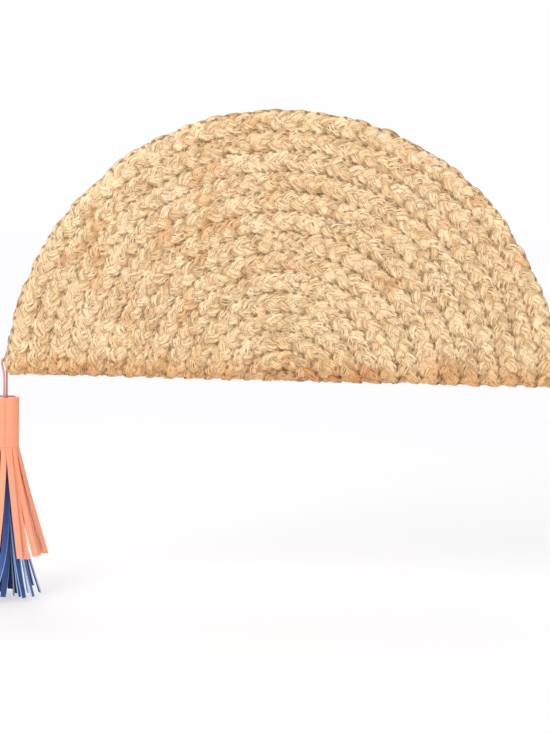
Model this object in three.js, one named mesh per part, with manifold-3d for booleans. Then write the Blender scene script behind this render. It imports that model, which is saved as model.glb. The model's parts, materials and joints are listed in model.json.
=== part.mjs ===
// A half-moon clutch: one round braided-jute mat folded in half, a zip along the curved edge,
// and a leather tassel on the zip's pull. Millimetres, +Z up. The fold rests on z = 0, the front
// faces -Y, and the zip is closed when its slider stands at the -X corner.

import * as THREE from 'three';
import { mergeVertices } from 'three/addons/utils/BufferGeometryUtils.js';
import Module from 'manifold-3d';

const wasm = await Module();
wasm.setup();

// Braided mat
const matRadius = 190;
const rowCount = 14;
const matThickness = 8.5;
const rowGroove = 1.5;
const rimEdge = 1.9;
const rimRounding = 4.5;

// Folded shape
const foldRadius = 13;
const foldSwell = 4;
const bellySwell = 9;
const basePress = 0.5;
const wallAboveFold = 2;
const partingGap = 0.4;

// Clearances
const seat = 0.3;
const sliderRun = 0.35;

// Lining
const liningThickness = 0.8;

// Zip
const tapeThickness = 0.6;
const tapeLegLength = 10;
const chainDepth = 1.7;
const toothHeight = 2;
const toothPitch = 4.6;
const toothReach = 0.9;
const toothGap = 0.4;
const spineWidth = 1.3;
const zipEndAngle = 5.2;
const zipPartAngle = 11.8;
const partGapAngle = 0.15;
const tabAngle = 0.6;
const stopLength = 2.6;
const stopBevel = 0.5;

// Slider and pull
const sliderWidth = 9.2;
const sliderRearWidth = 7.6;
const sliderLength = 11;
const plateThickness = 0.95;
const plateRounding = 1.4;
const flangeWidth = 1.2;
const wedgeWidth = 3;
const wedgeLength = 3.8;
const noseInset = 0.5;
const noseBulge = 0.4;
const bridgeLength = 7.4;
const bridgeWidth = 2;
const bridgeWall = 1.1;
const sliderRestAngle = 8.5;
const pullBar = 1.2;
const pullLength = 13.5;
const pullWidth = 6.2;
const pullWaist = 4.6;
const pullWindow = 4.6;
const eyeRadius = 1.7;

// Lace and tassel
const laceDiameter = 1.5;
const laceOutside = 4;
const laceSunk = 0.6;
const strandGap = 0.3;
const tasselSway = 45;
const tasselTop = -15.5;
const bandRadius = 10;
const bandLength = 35;
const leatherThickness = 1.1;
const coralLength = 111;
const blueLength = 142.5;
const coralFlare = 17.5;
const blueFlare = 16.5;
const innerStripsShorter = 5;
const raggedTips = 3;
const coralStrips = 12;
const coralInnerStrips = 10;
const blueStrips = 9;
const blueInnerStrips = 6;
const coralInnerFlare = 12.25;
const blueInnerFlare = 9;
const flareBend = 1.6;
const flareVariation = 0.16;
const curlVariation = 0.12;
const scatterStep = 2.4;

// Worked out from the sizes above
const rowPitch = matRadius / rowCount;
const halfMat = matThickness / 2;
const quarterTurn = (Math.PI / 2) * foldRadius;
const rimHalfDepth = halfMat + seat + tapeThickness + 2 * sliderRun + sliderWidth / 2;
const rimCentre = halfMat + foldRadius - quarterTurn - basePress;
const wallTop = halfMat + foldRadius - basePress + wallAboveFold;
const wallRun = quarterTurn + wallAboveFold;
const chainRadius = matRadius - chainDepth;
const chainStart = zipPartAngle + partGapAngle;
const chainEnd = 180 - chainStart;
const tapeTip = toothReach + spineWidth + toothGap / 2 + seat;
const liningRadius = chainRadius - tapeLegLength - 2 * seat;
const pinHeight = toothHeight / 2 + sliderRun + plateThickness + bridgeWall + pullBar / 2;
const tasselX = -(matRadius + laceOutside);
const rollTop = tasselTop - leatherThickness;

// How finely round forms are divided
const panelStations = 24;
const liningStations = 18;
const tapeSteps = 34;
const tapeEndSteps = 4;
const innerRings = 6;
const liningFoldRings = 3;
const liningFoldRuns = 10;
const rollSides = 28;
const stripSteps = 5;
const laceSteps = 46;
const arcSegments = { plate: 3, wedge: 4, bridge: 5, pull: 6, lace: 4 };

const rad = THREE.MathUtils.degToRad;
const deg = THREE.MathUtils.radToDeg;
const group = new THREE.Group();

const finishes = {
  jute: { color: 0xe0c08c, roughness: 0.92, metalness: 0 },
  lining: { color: 0xcfc2b4, roughness: 0.95, metalness: 0 },
  tape: { color: 0x6d5a6c, roughness: 0.85, metalness: 0 },
  teeth: { color: 0x5c4a5e, roughness: 0.5, metalness: 0 },
  metal: { color: 0x5a4a60, roughness: 0.3, metalness: 0.9 },
  lace: { color: 0xc98f84, roughness: 0.7, metalness: 0 },
  coral: { color: 0xf79a78, roughness: 0.55, metalness: 0 },
  blue: { color: 0x4670b8, roughness: 0.5, metalness: 0 },
};

function add(name, geometry, finish, parent = group) {
  const mesh = new THREE.Mesh(geometry, new THREE.MeshStandardMaterial(finishes[finish]));
  mesh.name = name;
  parent.add(mesh);
  return mesh;
}

// Mesh helpers

function bare(geometry) {
  const copy = geometry.index ? geometry.toNonIndexed() : geometry.clone();
  for (const name of Object.keys(copy.attributes)) {
    if (name !== 'position') copy.deleteAttribute(name);
  }
  return copy;
}

function welded(geometry) {
  const merged = mergeVertices(bare(geometry), 1e-4);
  const index = merged.index.array;
  const kept = [];
  for (let i = 0; i < index.length; i += 3) {
    const [a, b, c] = [index[i], index[i + 1], index[i + 2]];
    if (a !== b && b !== c && c !== a) kept.push(a, b, c);
  }
  merged.setIndex(kept);
  return facingOut(merged);
}

function signedVolume(geometry) {
  const p = geometry.attributes.position;
  const index = geometry.index.array;
  const [a, b, c] = [new THREE.Vector3(), new THREE.Vector3(), new THREE.Vector3()];
  let total = 0;
  for (let i = 0; i < index.length; i += 3) {
    a.fromBufferAttribute(p, index[i]);
    b.fromBufferAttribute(p, index[i + 1]);
    c.fromBufferAttribute(p, index[i + 2]);
    total += a.dot(b.cross(c)) / 6;
  }
  return total;
}

function facingOut(geometry) {
  if (signedVolume(geometry) < 0) {
    const index = Array.from(geometry.index.array);
    for (let i = 0; i < index.length; i += 3) [index[i], index[i + 1]] = [index[i + 1], index[i]];
    geometry.setIndex(index);
  }
  geometry.computeVertexNormals();
  return geometry;
}

function fromTriangles(triangles) {
  const geometry = new THREE.BufferGeometry();
  const positions = triangles.flatMap((t) => t.flatMap((v) => [v.x, v.y, v.z]));
  geometry.setAttribute('position', new THREE.Float32BufferAttribute(positions, 3));
  return welded(geometry);
}

function mirroredInY(geometry) {
  const copy = geometry.clone();
  copy.applyMatrix4(new THREE.Matrix4().makeScale(1, -1, 1));
  return facingOut(copy);
}

function mirroredInX(geometry) {
  const copy = geometry.clone();
  copy.applyMatrix4(new THREE.Matrix4().makeScale(-1, 1, 1));
  return facingOut(copy);
}

function toSolid(geometry) {
  const mesh = welded(geometry);
  return new wasm.Manifold(new wasm.Mesh({
    numProp: 3,
    vertProperties: new Float32Array(mesh.attributes.position.array),
    triVerts: new Uint32Array(mesh.index.array),
  }));
}

function fromSolid(solid) {
  const mesh = solid.getMesh();
  const geometry = new THREE.BufferGeometry();
  geometry.setAttribute('position', new THREE.BufferAttribute(new Float32Array(mesh.vertProperties), 3));
  geometry.setIndex(Array.from(mesh.triVerts));
  geometry.computeVertexNormals();
  return geometry;
}

function joined(geometries) {
  return fromSolid(geometries.map(toSolid).reduce((whole, next) => whole.add(next)));
}

function cut(geometry, tools) {
  return fromSolid(tools.map(toSolid).reduce((left, tool) => left.subtract(tool), toSolid(geometry)));
}

function quad(a, b, c, d) {
  return [[a, b, c], [a, c, d]];
}

// A closed wall between an outer and an inner stack of rings, which may differ in number.
function closedShell(outer, inner) {
  const last = outer[0].length - 1;
  const triangles = [];
  const skin = (rings, turned) => {
    for (let k = 0; k + 1 < rings.length; k += 1) {
      for (let i = 0; i < last; i += 1) {
        const corners = [rings[k][i], rings[k][i + 1], rings[k + 1][i + 1], rings[k + 1][i]];
        triangles.push(...quad(...(turned ? corners.reverse() : corners)));
      }
    }
  };
  skin(outer, false);
  skin(inner, true);
  const [bottomOut, bottomIn, topOut, topIn] = [outer[0], inner[0], outer.at(-1), inner.at(-1)];
  for (let i = 0; i < last; i += 1) {
    triangles.push(...quad(topOut[i], topOut[i + 1], topIn[i + 1], topIn[i]));
    triangles.push(...quad(bottomOut[i], bottomIn[i], bottomIn[i + 1], bottomOut[i + 1]));
  }
  triangles.push(...edgeWall(outer.map((r) => r[0]), inner.map((r) => r[0]), false));
  triangles.push(...edgeWall(outer.map((r) => r[last]), inner.map((r) => r[last]), true));
  return fromTriangles(triangles);
}

// Triangles between two edges that start and end together but have different numbers of points.
function edgeWall(a, b, turned) {
  const run = (points) => {
    const lengths = [0];
    for (let i = 1; i < points.length; i += 1) {
      lengths.push(lengths[i - 1] + points[i].distanceTo(points[i - 1]));
    }
    return lengths.map((l) => l / lengths.at(-1));
  };
  const [fa, fb] = [run(a), run(b)];
  const triangles = [];
  let [i, j] = [0, 0];
  while (i + 1 < a.length || j + 1 < b.length) {
    const stepA = j + 1 >= b.length || (i + 1 < a.length && fa[i + 1] <= fb[j + 1]);
    const corners = stepA ? [a[i], a[i + 1], b[j]] : [a[i], b[j + 1], b[j]];
    triangles.push(turned ? [corners[0], corners[2], corners[1]] : corners);
    if (stepA) i += 1;
    else j += 1;
  }
  return triangles;
}

// A closed bar through a row of sections, each a ring of as many points.
function loft(sections) {
  const count = sections[0].length;
  const triangles = [];
  for (let k = 0; k + 1 < sections.length; k += 1) {
    for (let i = 0; i < count; i += 1) {
      const next = (i + 1) % count;
      triangles.push(...quad(sections[k][i], sections[k][next], sections[k + 1][next], sections[k + 1][i]));
    }
  }
  triangles.push(...endCap(sections[0], true), ...endCap(sections.at(-1), false));
  return fromTriangles(triangles);
}

// Triangles that close the end of a bar, whatever the outline of its section.
function endCap(ring, turned) {
  const normal = new THREE.Vector3();
  ring.forEach((point, i) => normal.add(point.clone().cross(ring[(i + 1) % ring.length])));
  const u = ring[1].clone().sub(ring[0]).normalize();
  const v = normal.normalize().cross(u);
  const flat = ring.map((p) => new THREE.Vector2(p.dot(u), p.dot(v)));
  return THREE.ShapeUtils.triangulateShape(flat, []).map(([a, b, c]) => {
    const left = flat[b].clone().sub(flat[a]).cross(flat[c].clone().sub(flat[a])) > 0;
    return left === turned ? [ring[a], ring[c], ring[b]] : [ring[a], ring[b], ring[c]];
  });
}

function steps(from, to, count) {
  return Array.from({ length: count + 1 }, (_, i) => from + ((to - from) * i) / count);
}

// The folded mat. A point of the flat mat is x along the fold and s across it, s < 0 in front.

function halfDepth(x, s) {
  const height = Math.abs(s) / matRadius;
  const share = (x * x + s * s) / (matRadius * matRadius);
  return rimHalfDepth + (1 - share) * (foldSwell + bellySwell * height);
}

function midSurface(x, s) {
  const run = Math.abs(s);
  const side = Math.sign(s);
  const depth = halfDepth(x, s);
  if (run < quarterTurn) {
    const turn = run / foldRadius;
    const z = halfMat + foldRadius * (1 - Math.cos(turn)) - basePress;
    return new THREE.Vector3(x, side * depth * Math.sin(turn), z);
  }
  return new THREE.Vector3(x, side * depth, rimCentre + run);
}

function matPoint(x, s, offset) {
  const h = 0.01;
  const alongX = midSurface(x + h, s).sub(midSurface(x - h, s));
  const alongS = midSurface(x, s + h).sub(midSurface(x, s - h));
  const outward = alongS.cross(alongX).normalize();
  const point = midSurface(x, s).addScaledVector(outward, offset);
  point.z = Math.max(point.z, 0);
  return point;
}

function rimShare(r) {
  const inside = THREE.MathUtils.clamp((matRadius - r) / rimRounding, 0, 1);
  return Math.sqrt(1 - (1 - inside) ** 2);
}

// Face of the braided rows: crests at half rows, valleys between rows, pressed flat under the fold.
function rowFace(x, s) {
  const r = Math.min(Math.hypot(x, s), matRadius);
  const valley = (1 + Math.cos((2 * Math.PI * r) / rowPitch)) / 2;
  const lifted = THREE.MathUtils.smoothstep(Math.abs(s), rowGroove * 2, foldRadius);
  const face = halfMat - rowGroove * valley * lifted * (r < matRadius - rimRounding ? 1 : 0);
  return rimEdge + (face - rimEdge) * rimShare(r);
}

function plainFace(x, s) {
  const r = Math.min(Math.hypot(x, s), matRadius);
  return -(rimEdge + (halfMat - rimEdge) * rimShare(r));
}

// A ring of the mat from one end of the chord at height s = chord to the other.
function panelRing(r, chord, stations, offset) {
  const start = Math.asin(Math.min(1, chord / r));
  return steps(start, Math.PI - start, stations).map((angle) => {
    const [x, s] = [r * Math.cos(angle), Math.max(chord, r * Math.sin(angle))];
    return matPoint(x, s, offset(x, s));
  });
}

function panel() {
  const chord = wallRun + partingGap / 2;
  const inside = (r) => r > chord + rowPitch / 4 && r < matRadius - rimRounding;
  const outerRadii = [
    chord,
    ...steps(0, matRadius, 2 * rowCount).filter(inside),
    matRadius - rimRounding,
    matRadius - rimRounding / 4,
    matRadius,
  ];
  const innerRadii = [chord, ...steps(2 * chord, matRadius - rimRounding, innerRings), matRadius];
  return closedShell(
    outerRadii.map((r) => panelRing(r, chord, panelStations, rowFace)),
    innerRadii.map((r) => panelRing(r, chord, panelStations, plainFace)),
  );
}

function liningPanel() {
  const chord = wallRun + partingGap / 2;
  const radii = [chord, ...steps(2 * chord, liningRadius, innerRings)];
  const skin = (depth) => radii.map((r) => panelRing(r, chord, liningStations, () => depth));
  return closedShell(skin(-halfMat - seat), skin(-halfMat - seat - liningThickness));
}

// Strip of the mat round the fold, up to both parting lines.
function foldStrip(radius, radii, runs, offset) {
  const ends = [...radii.slice(1).reverse(), ...radii.map((r) => -r)];
  return runs.map((s) => ends.map((r) => {
    const x = r * Math.sqrt(1 - (s / radius) ** 2);
    return matPoint(x, s, offset(x, s));
  }));
}

function bottomFold() {
  const top = wallRun - partingGap / 2;
  const flat = foldRadius * Math.acos(1 - basePress / (foldRadius + halfMat));
  const half = [flat, quarterTurn / 3, (quarterTurn * 5) / 9, (quarterTurn * 7) / 9, quarterTurn, top];
  const runs = [...half.map((s) => -s).reverse(), ...half];
  const radii = [
    ...steps(0, matRadius, 2 * rowCount).filter((r) => r < matRadius - rimRounding),
    matRadius - rimRounding,
    matRadius - rimRounding / 4,
    matRadius,
  ];
  const innerRadii = [...steps(0, matRadius - rimRounding, innerRings), matRadius];
  const outer = foldStrip(matRadius, radii, runs, rowFace);
  const inner = foldStrip(matRadius, innerRadii, runs, plainFace);
  return stripShell(outer, inner);
}

// As closedShell, for stacks whose rings differ in length: the two long edges get the uneven wall.
function stripShell(outer, inner) {
  const turn = (rings) => rings[0].map((_, i) => rings.map((ring) => ring[i]));
  return closedShell(turn(outer), turn(inner));
}

function liningFold() {
  const top = wallRun - partingGap / 2;
  const radii = steps(0, liningRadius, liningFoldRings);
  const runs = steps(-top, top, liningFoldRuns);
  const skin = (depth) => foldStrip(liningRadius, radii, runs, () => depth);
  return stripShell(skin(-halfMat - seat), skin(-halfMat - seat - liningThickness));
}

// Zip

function onArc(radius, degrees, y) {
  return new THREE.Vector3(radius * Math.cos(rad(degrees)), y, rimCentre + radius * Math.sin(rad(degrees)));
}

function onMat(radius, degrees, offset) {
  return matPoint(radius * Math.cos(rad(degrees)), radius * Math.sin(rad(degrees)), offset);
}

// Half of the tape's section: its face from the teeth out, down the mat's rim, and back underneath.
function tapeSection(angle) {
  const near = -halfMat - seat;
  const face = (radius, offset) => [
    onArc(radius, angle, tapeTip),
    onArc(radius, angle, onMat(radius, angle, offset).y),
    onMat(chainRadius - tapeLegLength, angle, offset),
  ];
  const upper = face(chainRadius + tapeThickness / 2, near);
  const lower = face(chainRadius - tapeThickness / 2, near - tapeThickness);
  return [...upper, ...lower.reverse()];
}

// One half of the tape: flat beside the teeth, turned down and sewn inside the mat's rim.
function tapeHalf() {
  return loft(steps(chainStart, chainEnd, tapeSteps).map(tapeSection));
}

// One row of teeth on its spine, over the back half of the tape. The rows mesh half a pitch apart.
function teethRow(from, to, side) {
  const arc = rad(to - from) * chainRadius;
  const count = Math.round(arc / toothPitch);
  const angleOf = (halfStep) => from + ((to - from) * halfStep) / (2 * count);
  const edgeY = (halfStep) => toothReach * (halfStep % 2 ? 1 : -1) + (side * toothGap) / 2;
  const spineY = side * (toothReach + spineWidth + toothGap / 2);
  const [low, high] = [chainRadius - toothHeight / 2, chainRadius + toothHeight / 2];
  const edge = (r, i) => onArc(r, angleOf(i), edgeY(i));
  const spine = (r, i) => onArc(r, angleOf(i), spineY);
  const triangles = [];
  const face = (r, turned) => {
    for (let k = 0; k < count; k += 1) {
      const [a, b, c] = [2 * k, 2 * k + 1, 2 * k + 2];
      for (const t of [
        [spine(r, a), spine(r, c), edge(r, b)],
        [spine(r, a), edge(r, b), edge(r, a)],
        [spine(r, c), edge(r, c), edge(r, b)],
      ]) triangles.push(turned ? [t[0], t[2], t[1]] : t);
    }
  };
  face(high, false);
  face(low, true);
  for (let k = 0; k < count; k += 1) {
    const [a, b, c] = [2 * k, 2 * k + 1, 2 * k + 2];
    triangles.push(...quad(spine(low, a), spine(low, c), spine(high, c), spine(high, a)));
    triangles.push(...quad(edge(low, b), edge(low, a), edge(high, a), edge(high, b)));
    triangles.push(...quad(edge(low, c), edge(low, b), edge(high, b), edge(high, c)));
  }
  const end = 2 * count;
  triangles.push(...quad(edge(low, 0), spine(low, 0), spine(high, 0), edge(high, 0)));
  triangles.push(...quad(spine(low, end), edge(low, end), edge(high, end), spine(high, end)));
  return fromTriangles(triangles);
}

// The tape of one corner: whole across the end of the zip, and slit from there on for the teeth.
function tapeEnd() {
  const inFront = (point) => new THREE.Vector3(point.x, -point.y, point.z);
  const whole = loft(steps(zipEndAngle, zipPartAngle, tapeEndSteps).map((angle) => {
    const [, corner, foot, footUnder, cornerUnder] = tapeSection(angle);
    const face = [foot, corner, inFront(corner), inFront(foot)];
    return [...face, inFront(footUnder), inFront(cornerUnder), cornerUnder, footUnder];
  }));
  const deep = 2 * tapeThickness;
  const slit = loft([zipEndAngle, zipPartAngle].map((angle) => (
    [[deep, -tapeTip], [deep, tapeTip], [-deep, tapeTip], [-deep, -tapeTip]].map(
      ([height, y]) => onArc(chainRadius + height, angle + tabAngle, y),
    )
  )));
  return cut(whole, [slit]);
}

// A stop clamped over both rows of teeth, bevelled all round.
function bottomStop() {
  const from = zipEndAngle + tabAngle + deg(seat / chainRadius);
  const to = from + deg(stopLength / chainRadius);
  const ring = (angle, inset) => {
    const [low, high] = [chainRadius - toothHeight / 2 + inset, chainRadius + toothHeight / 2 - inset];
    const wide = tapeTip - seat - inset;
    const side = wide - stopBevel;
    return [
      onArc(high, angle, -side), onArc(high, angle, side),
      onArc(high - stopBevel, angle, wide), onArc(low + stopBevel, angle, wide),
      onArc(low, angle, side), onArc(low, angle, -side),
      onArc(low + stopBevel, angle, -wide), onArc(high - stopBevel, angle, -wide),
    ];
  };
  const edge = deg(stopBevel / chainRadius);
  const inset = stopBevel / 2;
  return loft([ring(from, inset), ring(from + edge, 0), ring(to - edge, 0), ring(to, inset)]);
}

// Slider, built where it would stand at the top of the arc: x along the zip with the nose at -x,
// z up from the middle of the teeth.

function extruded(shape, depth, curveSegments) {
  return new THREE.ExtrudeGeometry(shape, { depth, bevelEnabled: false, curveSegments });
}

function plateOutline(rear, front) {
  const half = sliderLength / 2;
  const round = plateRounding;
  const shape = new THREE.Shape();
  shape.moveTo(-half + round, -front);
  shape.lineTo(0, -front);
  shape.quadraticCurveTo(half / 2, -front, half - round, -rear);
  shape.quadraticCurveTo(half, -rear, half, -rear + round);
  shape.lineTo(half, rear - round);
  shape.quadraticCurveTo(half, rear, half - round, rear);
  shape.quadraticCurveTo(half / 2, front, 0, front);
  shape.lineTo(-half + round, front);
  shape.quadraticCurveTo(-half, front, -half, front - round);
  shape.lineTo(-half, -front + round);
  shape.quadraticCurveTo(-half, -front, -half + round, -front);
  return shape;
}

function sliderPlate(bottom, height) {
  const outline = plateOutline(sliderRearWidth / 2, sliderWidth / 2);
  return extruded(outline, height, arcSegments.plate).translate(0, 0, bottom);
}

function sliderBody() {
  const channel = toothHeight / 2 + sliderRun;
  const lip = channel - tapeThickness / 2 - sliderRun;
  const top = sliderPlate(channel - lip, lip + plateThickness);
  const bottom = sliderPlate(-channel - plateThickness, lip + plateThickness);
  const inner = sliderWidth - 2 * flangeWidth;
  const groove = (z) => new THREE.BoxGeometry(2 * sliderLength, inner, 2 * channel).translate(0, 0, z);
  const plates = [cut(top, [groove(0)]), cut(bottom, [groove(0)])];
  return joined([...plates, sliderWedge(channel), sliderBridge(channel + plateThickness)]);
}

// The post that parts the two rows of teeth, and joins the plates, at the nose.
function sliderWedge(channel) {
  const shape = new THREE.Shape();
  const nose = -sliderLength / 2 + noseInset;
  shape.moveTo(nose, -wedgeWidth / 2);
  shape.lineTo(nose + wedgeLength, 0);
  shape.lineTo(nose, wedgeWidth / 2);
  shape.quadraticCurveTo(nose - noseBulge, 0, nose, -wedgeWidth / 2);
  const height = 2 * channel + plateThickness;
  return extruded(shape, height, arcSegments.wedge).translate(0, 0, -height / 2);
}

// The arch on the top plate that holds the pull.
function sliderBridge(base) {
  const rise = pinHeight - base + pullBar / 2 + sliderRun;
  const arch = (inset, foot, width) => {
    const half = bridgeLength / 2 - inset;
    const top = rise + bridgeWall - inset;
    const shape = new THREE.Shape();
    shape.moveTo(-half, foot);
    shape.lineTo(half, foot);
    shape.quadraticCurveTo(half, top, half / 2, top);
    shape.lineTo(-half / 2, top);
    shape.quadraticCurveTo(-half, top, -half, foot);
    const solid = extruded(shape, width, arcSegments.bridge).translate(0, 0, -width / 2);
    return solid.rotateX(Math.PI / 2).translate(0, 0, base);
  };
  const window = arch(bridgeWall, 0, bridgeWidth + 2 * seat);
  return cut(arch(0, -plateThickness / 2, bridgeWidth), [window]);
}

// Pull, hanging from its bar at the origin: x out of its face, z up.
function pullGeometry() {
  const half = pullWidth / 2;
  const waist = pullWaist / 2;
  const shoulder = half - pullBar / 3;
  const slotHalf = bridgeWidth / 2 + 2 * seat;
  const neck = -pullWindow - pullBar;
  const shape = new THREE.Shape();
  shape.moveTo(-shoulder, pullBar / 2);
  shape.lineTo(shoulder, pullBar / 2);
  shape.quadraticCurveTo(half, -pullWindow, waist, neck);
  shape.quadraticCurveTo(waist, -pullLength + pullBar, half, -pullLength);
  shape.absarc(0, -pullLength, half, 0, -Math.PI, true);
  shape.quadraticCurveTo(-waist, -pullLength + pullBar, -waist, neck);
  shape.quadraticCurveTo(-half, -pullWindow, -shoulder, pullBar / 2);
  const slot = new THREE.Path();
  slot.moveTo(-slotHalf, -pullBar / 2);
  slot.lineTo(-slotHalf, -pullWindow);
  slot.lineTo(slotHalf, -pullWindow);
  slot.lineTo(slotHalf, -pullBar / 2);
  slot.lineTo(-slotHalf, -pullBar / 2);
  const eye = new THREE.Path();
  eye.absarc(0, -pullLength, eyeRadius, 0, 2 * Math.PI, false);
  shape.holes.push(slot, eye);
  const flat = extruded(shape, pullBar, arcSegments.pull).translate(0, 0, -pullBar / 2);
  return flat.applyMatrix4(new THREE.Matrix4().makeBasis(
    new THREE.Vector3(0, 1, 0), new THREE.Vector3(0, 0, 1), new THREE.Vector3(1, 0, 0),
  ));
}

// Lace: from the tassel up, round the ring of the leaning pull, and down again. Each point is its
// distance beyond the strand's straight run, and its height below the top of the loop.
const straightRun = 27;
const outerLoop = [
  [0, straightRun], [0, 24], [0, 21], [0, 18], [0.03, 15], [0.1, 12.6], [0.24, 10.4], [0.52, 8.4],
  [0.9, 6.7], [1.28, 5.2], [1.58, 3.9], [1.7, 2.7], [1.58, 1.6], [1.18, 0.7], [0.55, 0.15],
];
const innerLoop = [
  [-0.5, 0.12], [0.05, 0.5], [0.35, 1.15], [0.42, 2], [0.32, 3.1], [0.15, 4.6], [0.03, 6.6],
  [0, 9], [0, 12], [0, 15], [0, 18], [0, 21], [0, 24], [0, straightRun],
];

function lacePoints(eyeHeight) {
  const top = eyeHeight - eyeRadius + laceDiameter / 2 + 2 * seat;
  const drop = (top - (rollTop - laceSunk)) / straightRun;
  const strand = (laceDiameter + strandGap) / 2;
  const along = (side) => ([x, below]) => (
    new THREE.Vector3(tasselX + side * (strand + x), 0, top - below * drop));
  const summit = new THREE.Vector3(tasselX - strand / 2, 0, top);
  return [...outerLoop.map(along(-1)), summit, ...innerLoop.map(along(1))];
}

function laceGeometry(points) {
  const section = new THREE.Shape();
  section.absarc(0, 0, laceDiameter / 2, 0, 2 * Math.PI, false);
  const extrudePath = new THREE.CatmullRomCurve3(points);
  const curveSegments = arcSegments.lace;
  const settings = { steps: laceSteps, curveSegments, extrudePath, bevelEnabled: false };
  return welded(new THREE.ExtrudeGeometry(section, settings));
}

// Tassel: leather cut into strips and rolled, blue inside coral, hung on its axis from z = 0 down.

function strip(angle, from, to, startRadius, flare, width, curl) {
  const sections = steps(0, 1, stripSteps).map((t) => {
    const z = -(from + (to - from) * t);
    const radius = startRadius + flare * t ** flareBend;
    const slope = Math.atan2(flareBend * flare * t ** (flareBend - 1), to - from);
    const turned = angle + curl * t * t;
    const across = new THREE.Vector3(-Math.sin(turned), Math.cos(turned), 0).multiplyScalar(width / 2);
    const out = new THREE.Vector3(Math.cos(turned), Math.sin(turned), 0);
    const thick = out.clone().multiplyScalar(Math.cos(slope)).setZ(Math.sin(slope));
    thick.multiplyScalar(leatherThickness / 2);
    const centre = out.multiplyScalar(radius).setZ(z);
    return [[-1, -1], [1, -1], [1, 1], [-1, 1]].map(([a, b]) => (
      centre.clone().addScaledVector(across, a).addScaledVector(thick, b)));
  });
  return loft(sections);
}

function stripLayer({ count, radius, length, flare, turn }) {
  const width = (2 * Math.PI * radius) / count - seat;
  const start = bandLength - leatherThickness;
  return Array.from({ length: count }, (_, i) => {
    const angle = (2 * Math.PI * (i + turn)) / count;
    const vary = Math.sin(scatterStep * i + turn);
    const reach = length - raggedTips * (1 + vary);
    const spread = flare * (1 - flareVariation * vary);
    return strip(angle, start, reach, radius, spread, width, curlVariation * vary);
  });
}

// Leather rolled up tight, from its inner profile out to its bevelled edge.
function rolled(inside, outerRadius, top) {
  const edge = leatherThickness / 4;
  const outside = [[outerRadius - edge, top], [outerRadius, top - edge], [outerRadius, -bandLength]];
  const profile = [...inside, ...outside, inside[0]].map(([r, z]) => new THREE.Vector2(r, z));
  return new THREE.LatheGeometry(profile, rollSides).rotateX(Math.PI / 2);
}

function coralFringe() {
  const outer = bandRadius - leatherThickness / 2;
  const inner = bandRadius - leatherThickness * 1.5;
  const bore = bandRadius - 2 * leatherThickness;
  const shorter = coralLength - innerStripsShorter;
  return joined([
    rolled([[bore, -bandLength], [bore, 0]], bandRadius, 0),
    ...stripLayer({ count: coralStrips, radius: outer, length: coralLength, flare: coralFlare, turn: 0 }),
    ...stripLayer({
      count: coralInnerStrips, radius: inner, length: shorter, flare: coralInnerFlare, turn: 0.5,
    }),
  ]);
}

// The well in the roll where the lace goes in, wide enough for the tassel to sway round the lace.
function laceWell() {
  const reach = Math.hypot(strandGap / 2 + laceDiameter, laceSunk) + seat;
  const round = (angle) => [reach * Math.sin(rad(angle)), -leatherThickness - reach * Math.cos(rad(angle))];
  const mouth = [reach / Math.cos(rad(tasselSway)), -leatherThickness];
  return [round(0), round((90 - tasselSway) / 2), round(90 - tasselSway), mouth];
}

function blueFringe() {
  const rollRadius = bandRadius - 2 * leatherThickness - seat;
  const outer = rollRadius - leatherThickness;
  const inner = rollRadius - leatherThickness * 2.5;
  const shorter = blueLength - innerStripsShorter;
  return joined([
    rolled([[0, -bandLength], ...laceWell()], rollRadius, -leatherThickness),
    ...stripLayer({ count: blueStrips, radius: outer, length: blueLength, flare: blueFlare, turn: 0.25 }),
    ...stripLayer({
      count: blueInnerStrips, radius: inner, length: shorter, flare: blueInnerFlare, turn: 0.6,
    }),
  ]);
}

// Bag

const backPanel = panel();
const backLining = liningPanel();
add('bottom_fold', bottomFold(), 'jute');
add('back_panel', backPanel, 'jute');
add('front_panel', mirroredInY(backPanel), 'jute');
add('lining_fold', liningFold(), 'lining');
add('lining_back', backLining, 'lining');
add('lining_front', mirroredInY(backLining), 'lining');

// Zip
const backTape = tapeHalf();
const rightEnd = tapeEnd();
const stopEnd = zipEndAngle + tabAngle + deg((stopLength + 2 * seat) / chainRadius);
add('zip_tape_back', backTape, 'tape');
add('zip_tape_front', mirroredInY(backTape), 'tape');
add('zip_tape_right_end', rightEnd, 'tape');
add('zip_tape_left_end', mirroredInX(rightEnd), 'tape');
add('zip_teeth_back', teethRow(chainStart, chainEnd, 1), 'teeth');
add('zip_teeth_front', teethRow(chainStart, chainEnd, -1), 'teeth');
add('zip_teeth_back_right_end', teethRow(stopEnd, zipPartAngle, 1), 'teeth');
add('zip_teeth_front_right_end', teethRow(stopEnd, zipPartAngle, -1), 'teeth');
add('zip_teeth_back_left_end', teethRow(180 - zipPartAngle, 180 - sliderRestAngle, 1), 'teeth');
add('zip_teeth_front_left_end', teethRow(180 - zipPartAngle, 180 - sliderRestAngle, -1), 'teeth');
add('zip_bottom_stop', bottomStop(), 'metal');

// Slider and pull, at the closed end
const zipTurn = new THREE.Group();
zipTurn.position.set(0, 0, rimCentre);
zipTurn.rotation.y = -rad(90 - sliderRestAngle);
group.add(zipTurn);
add('zip_slider', sliderBody(), 'metal', zipTurn).position.set(0, 0, chainRadius);
const pin = onArc(chainRadius + pinHeight, 180 - sliderRestAngle, 0);
const pullLean = Math.asin((pin.x - tasselX) / pullLength);
const pull = add('zip_pull', pullGeometry(), 'metal');
pull.position.copy(pin);
pull.rotation.y = pullLean;

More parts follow.
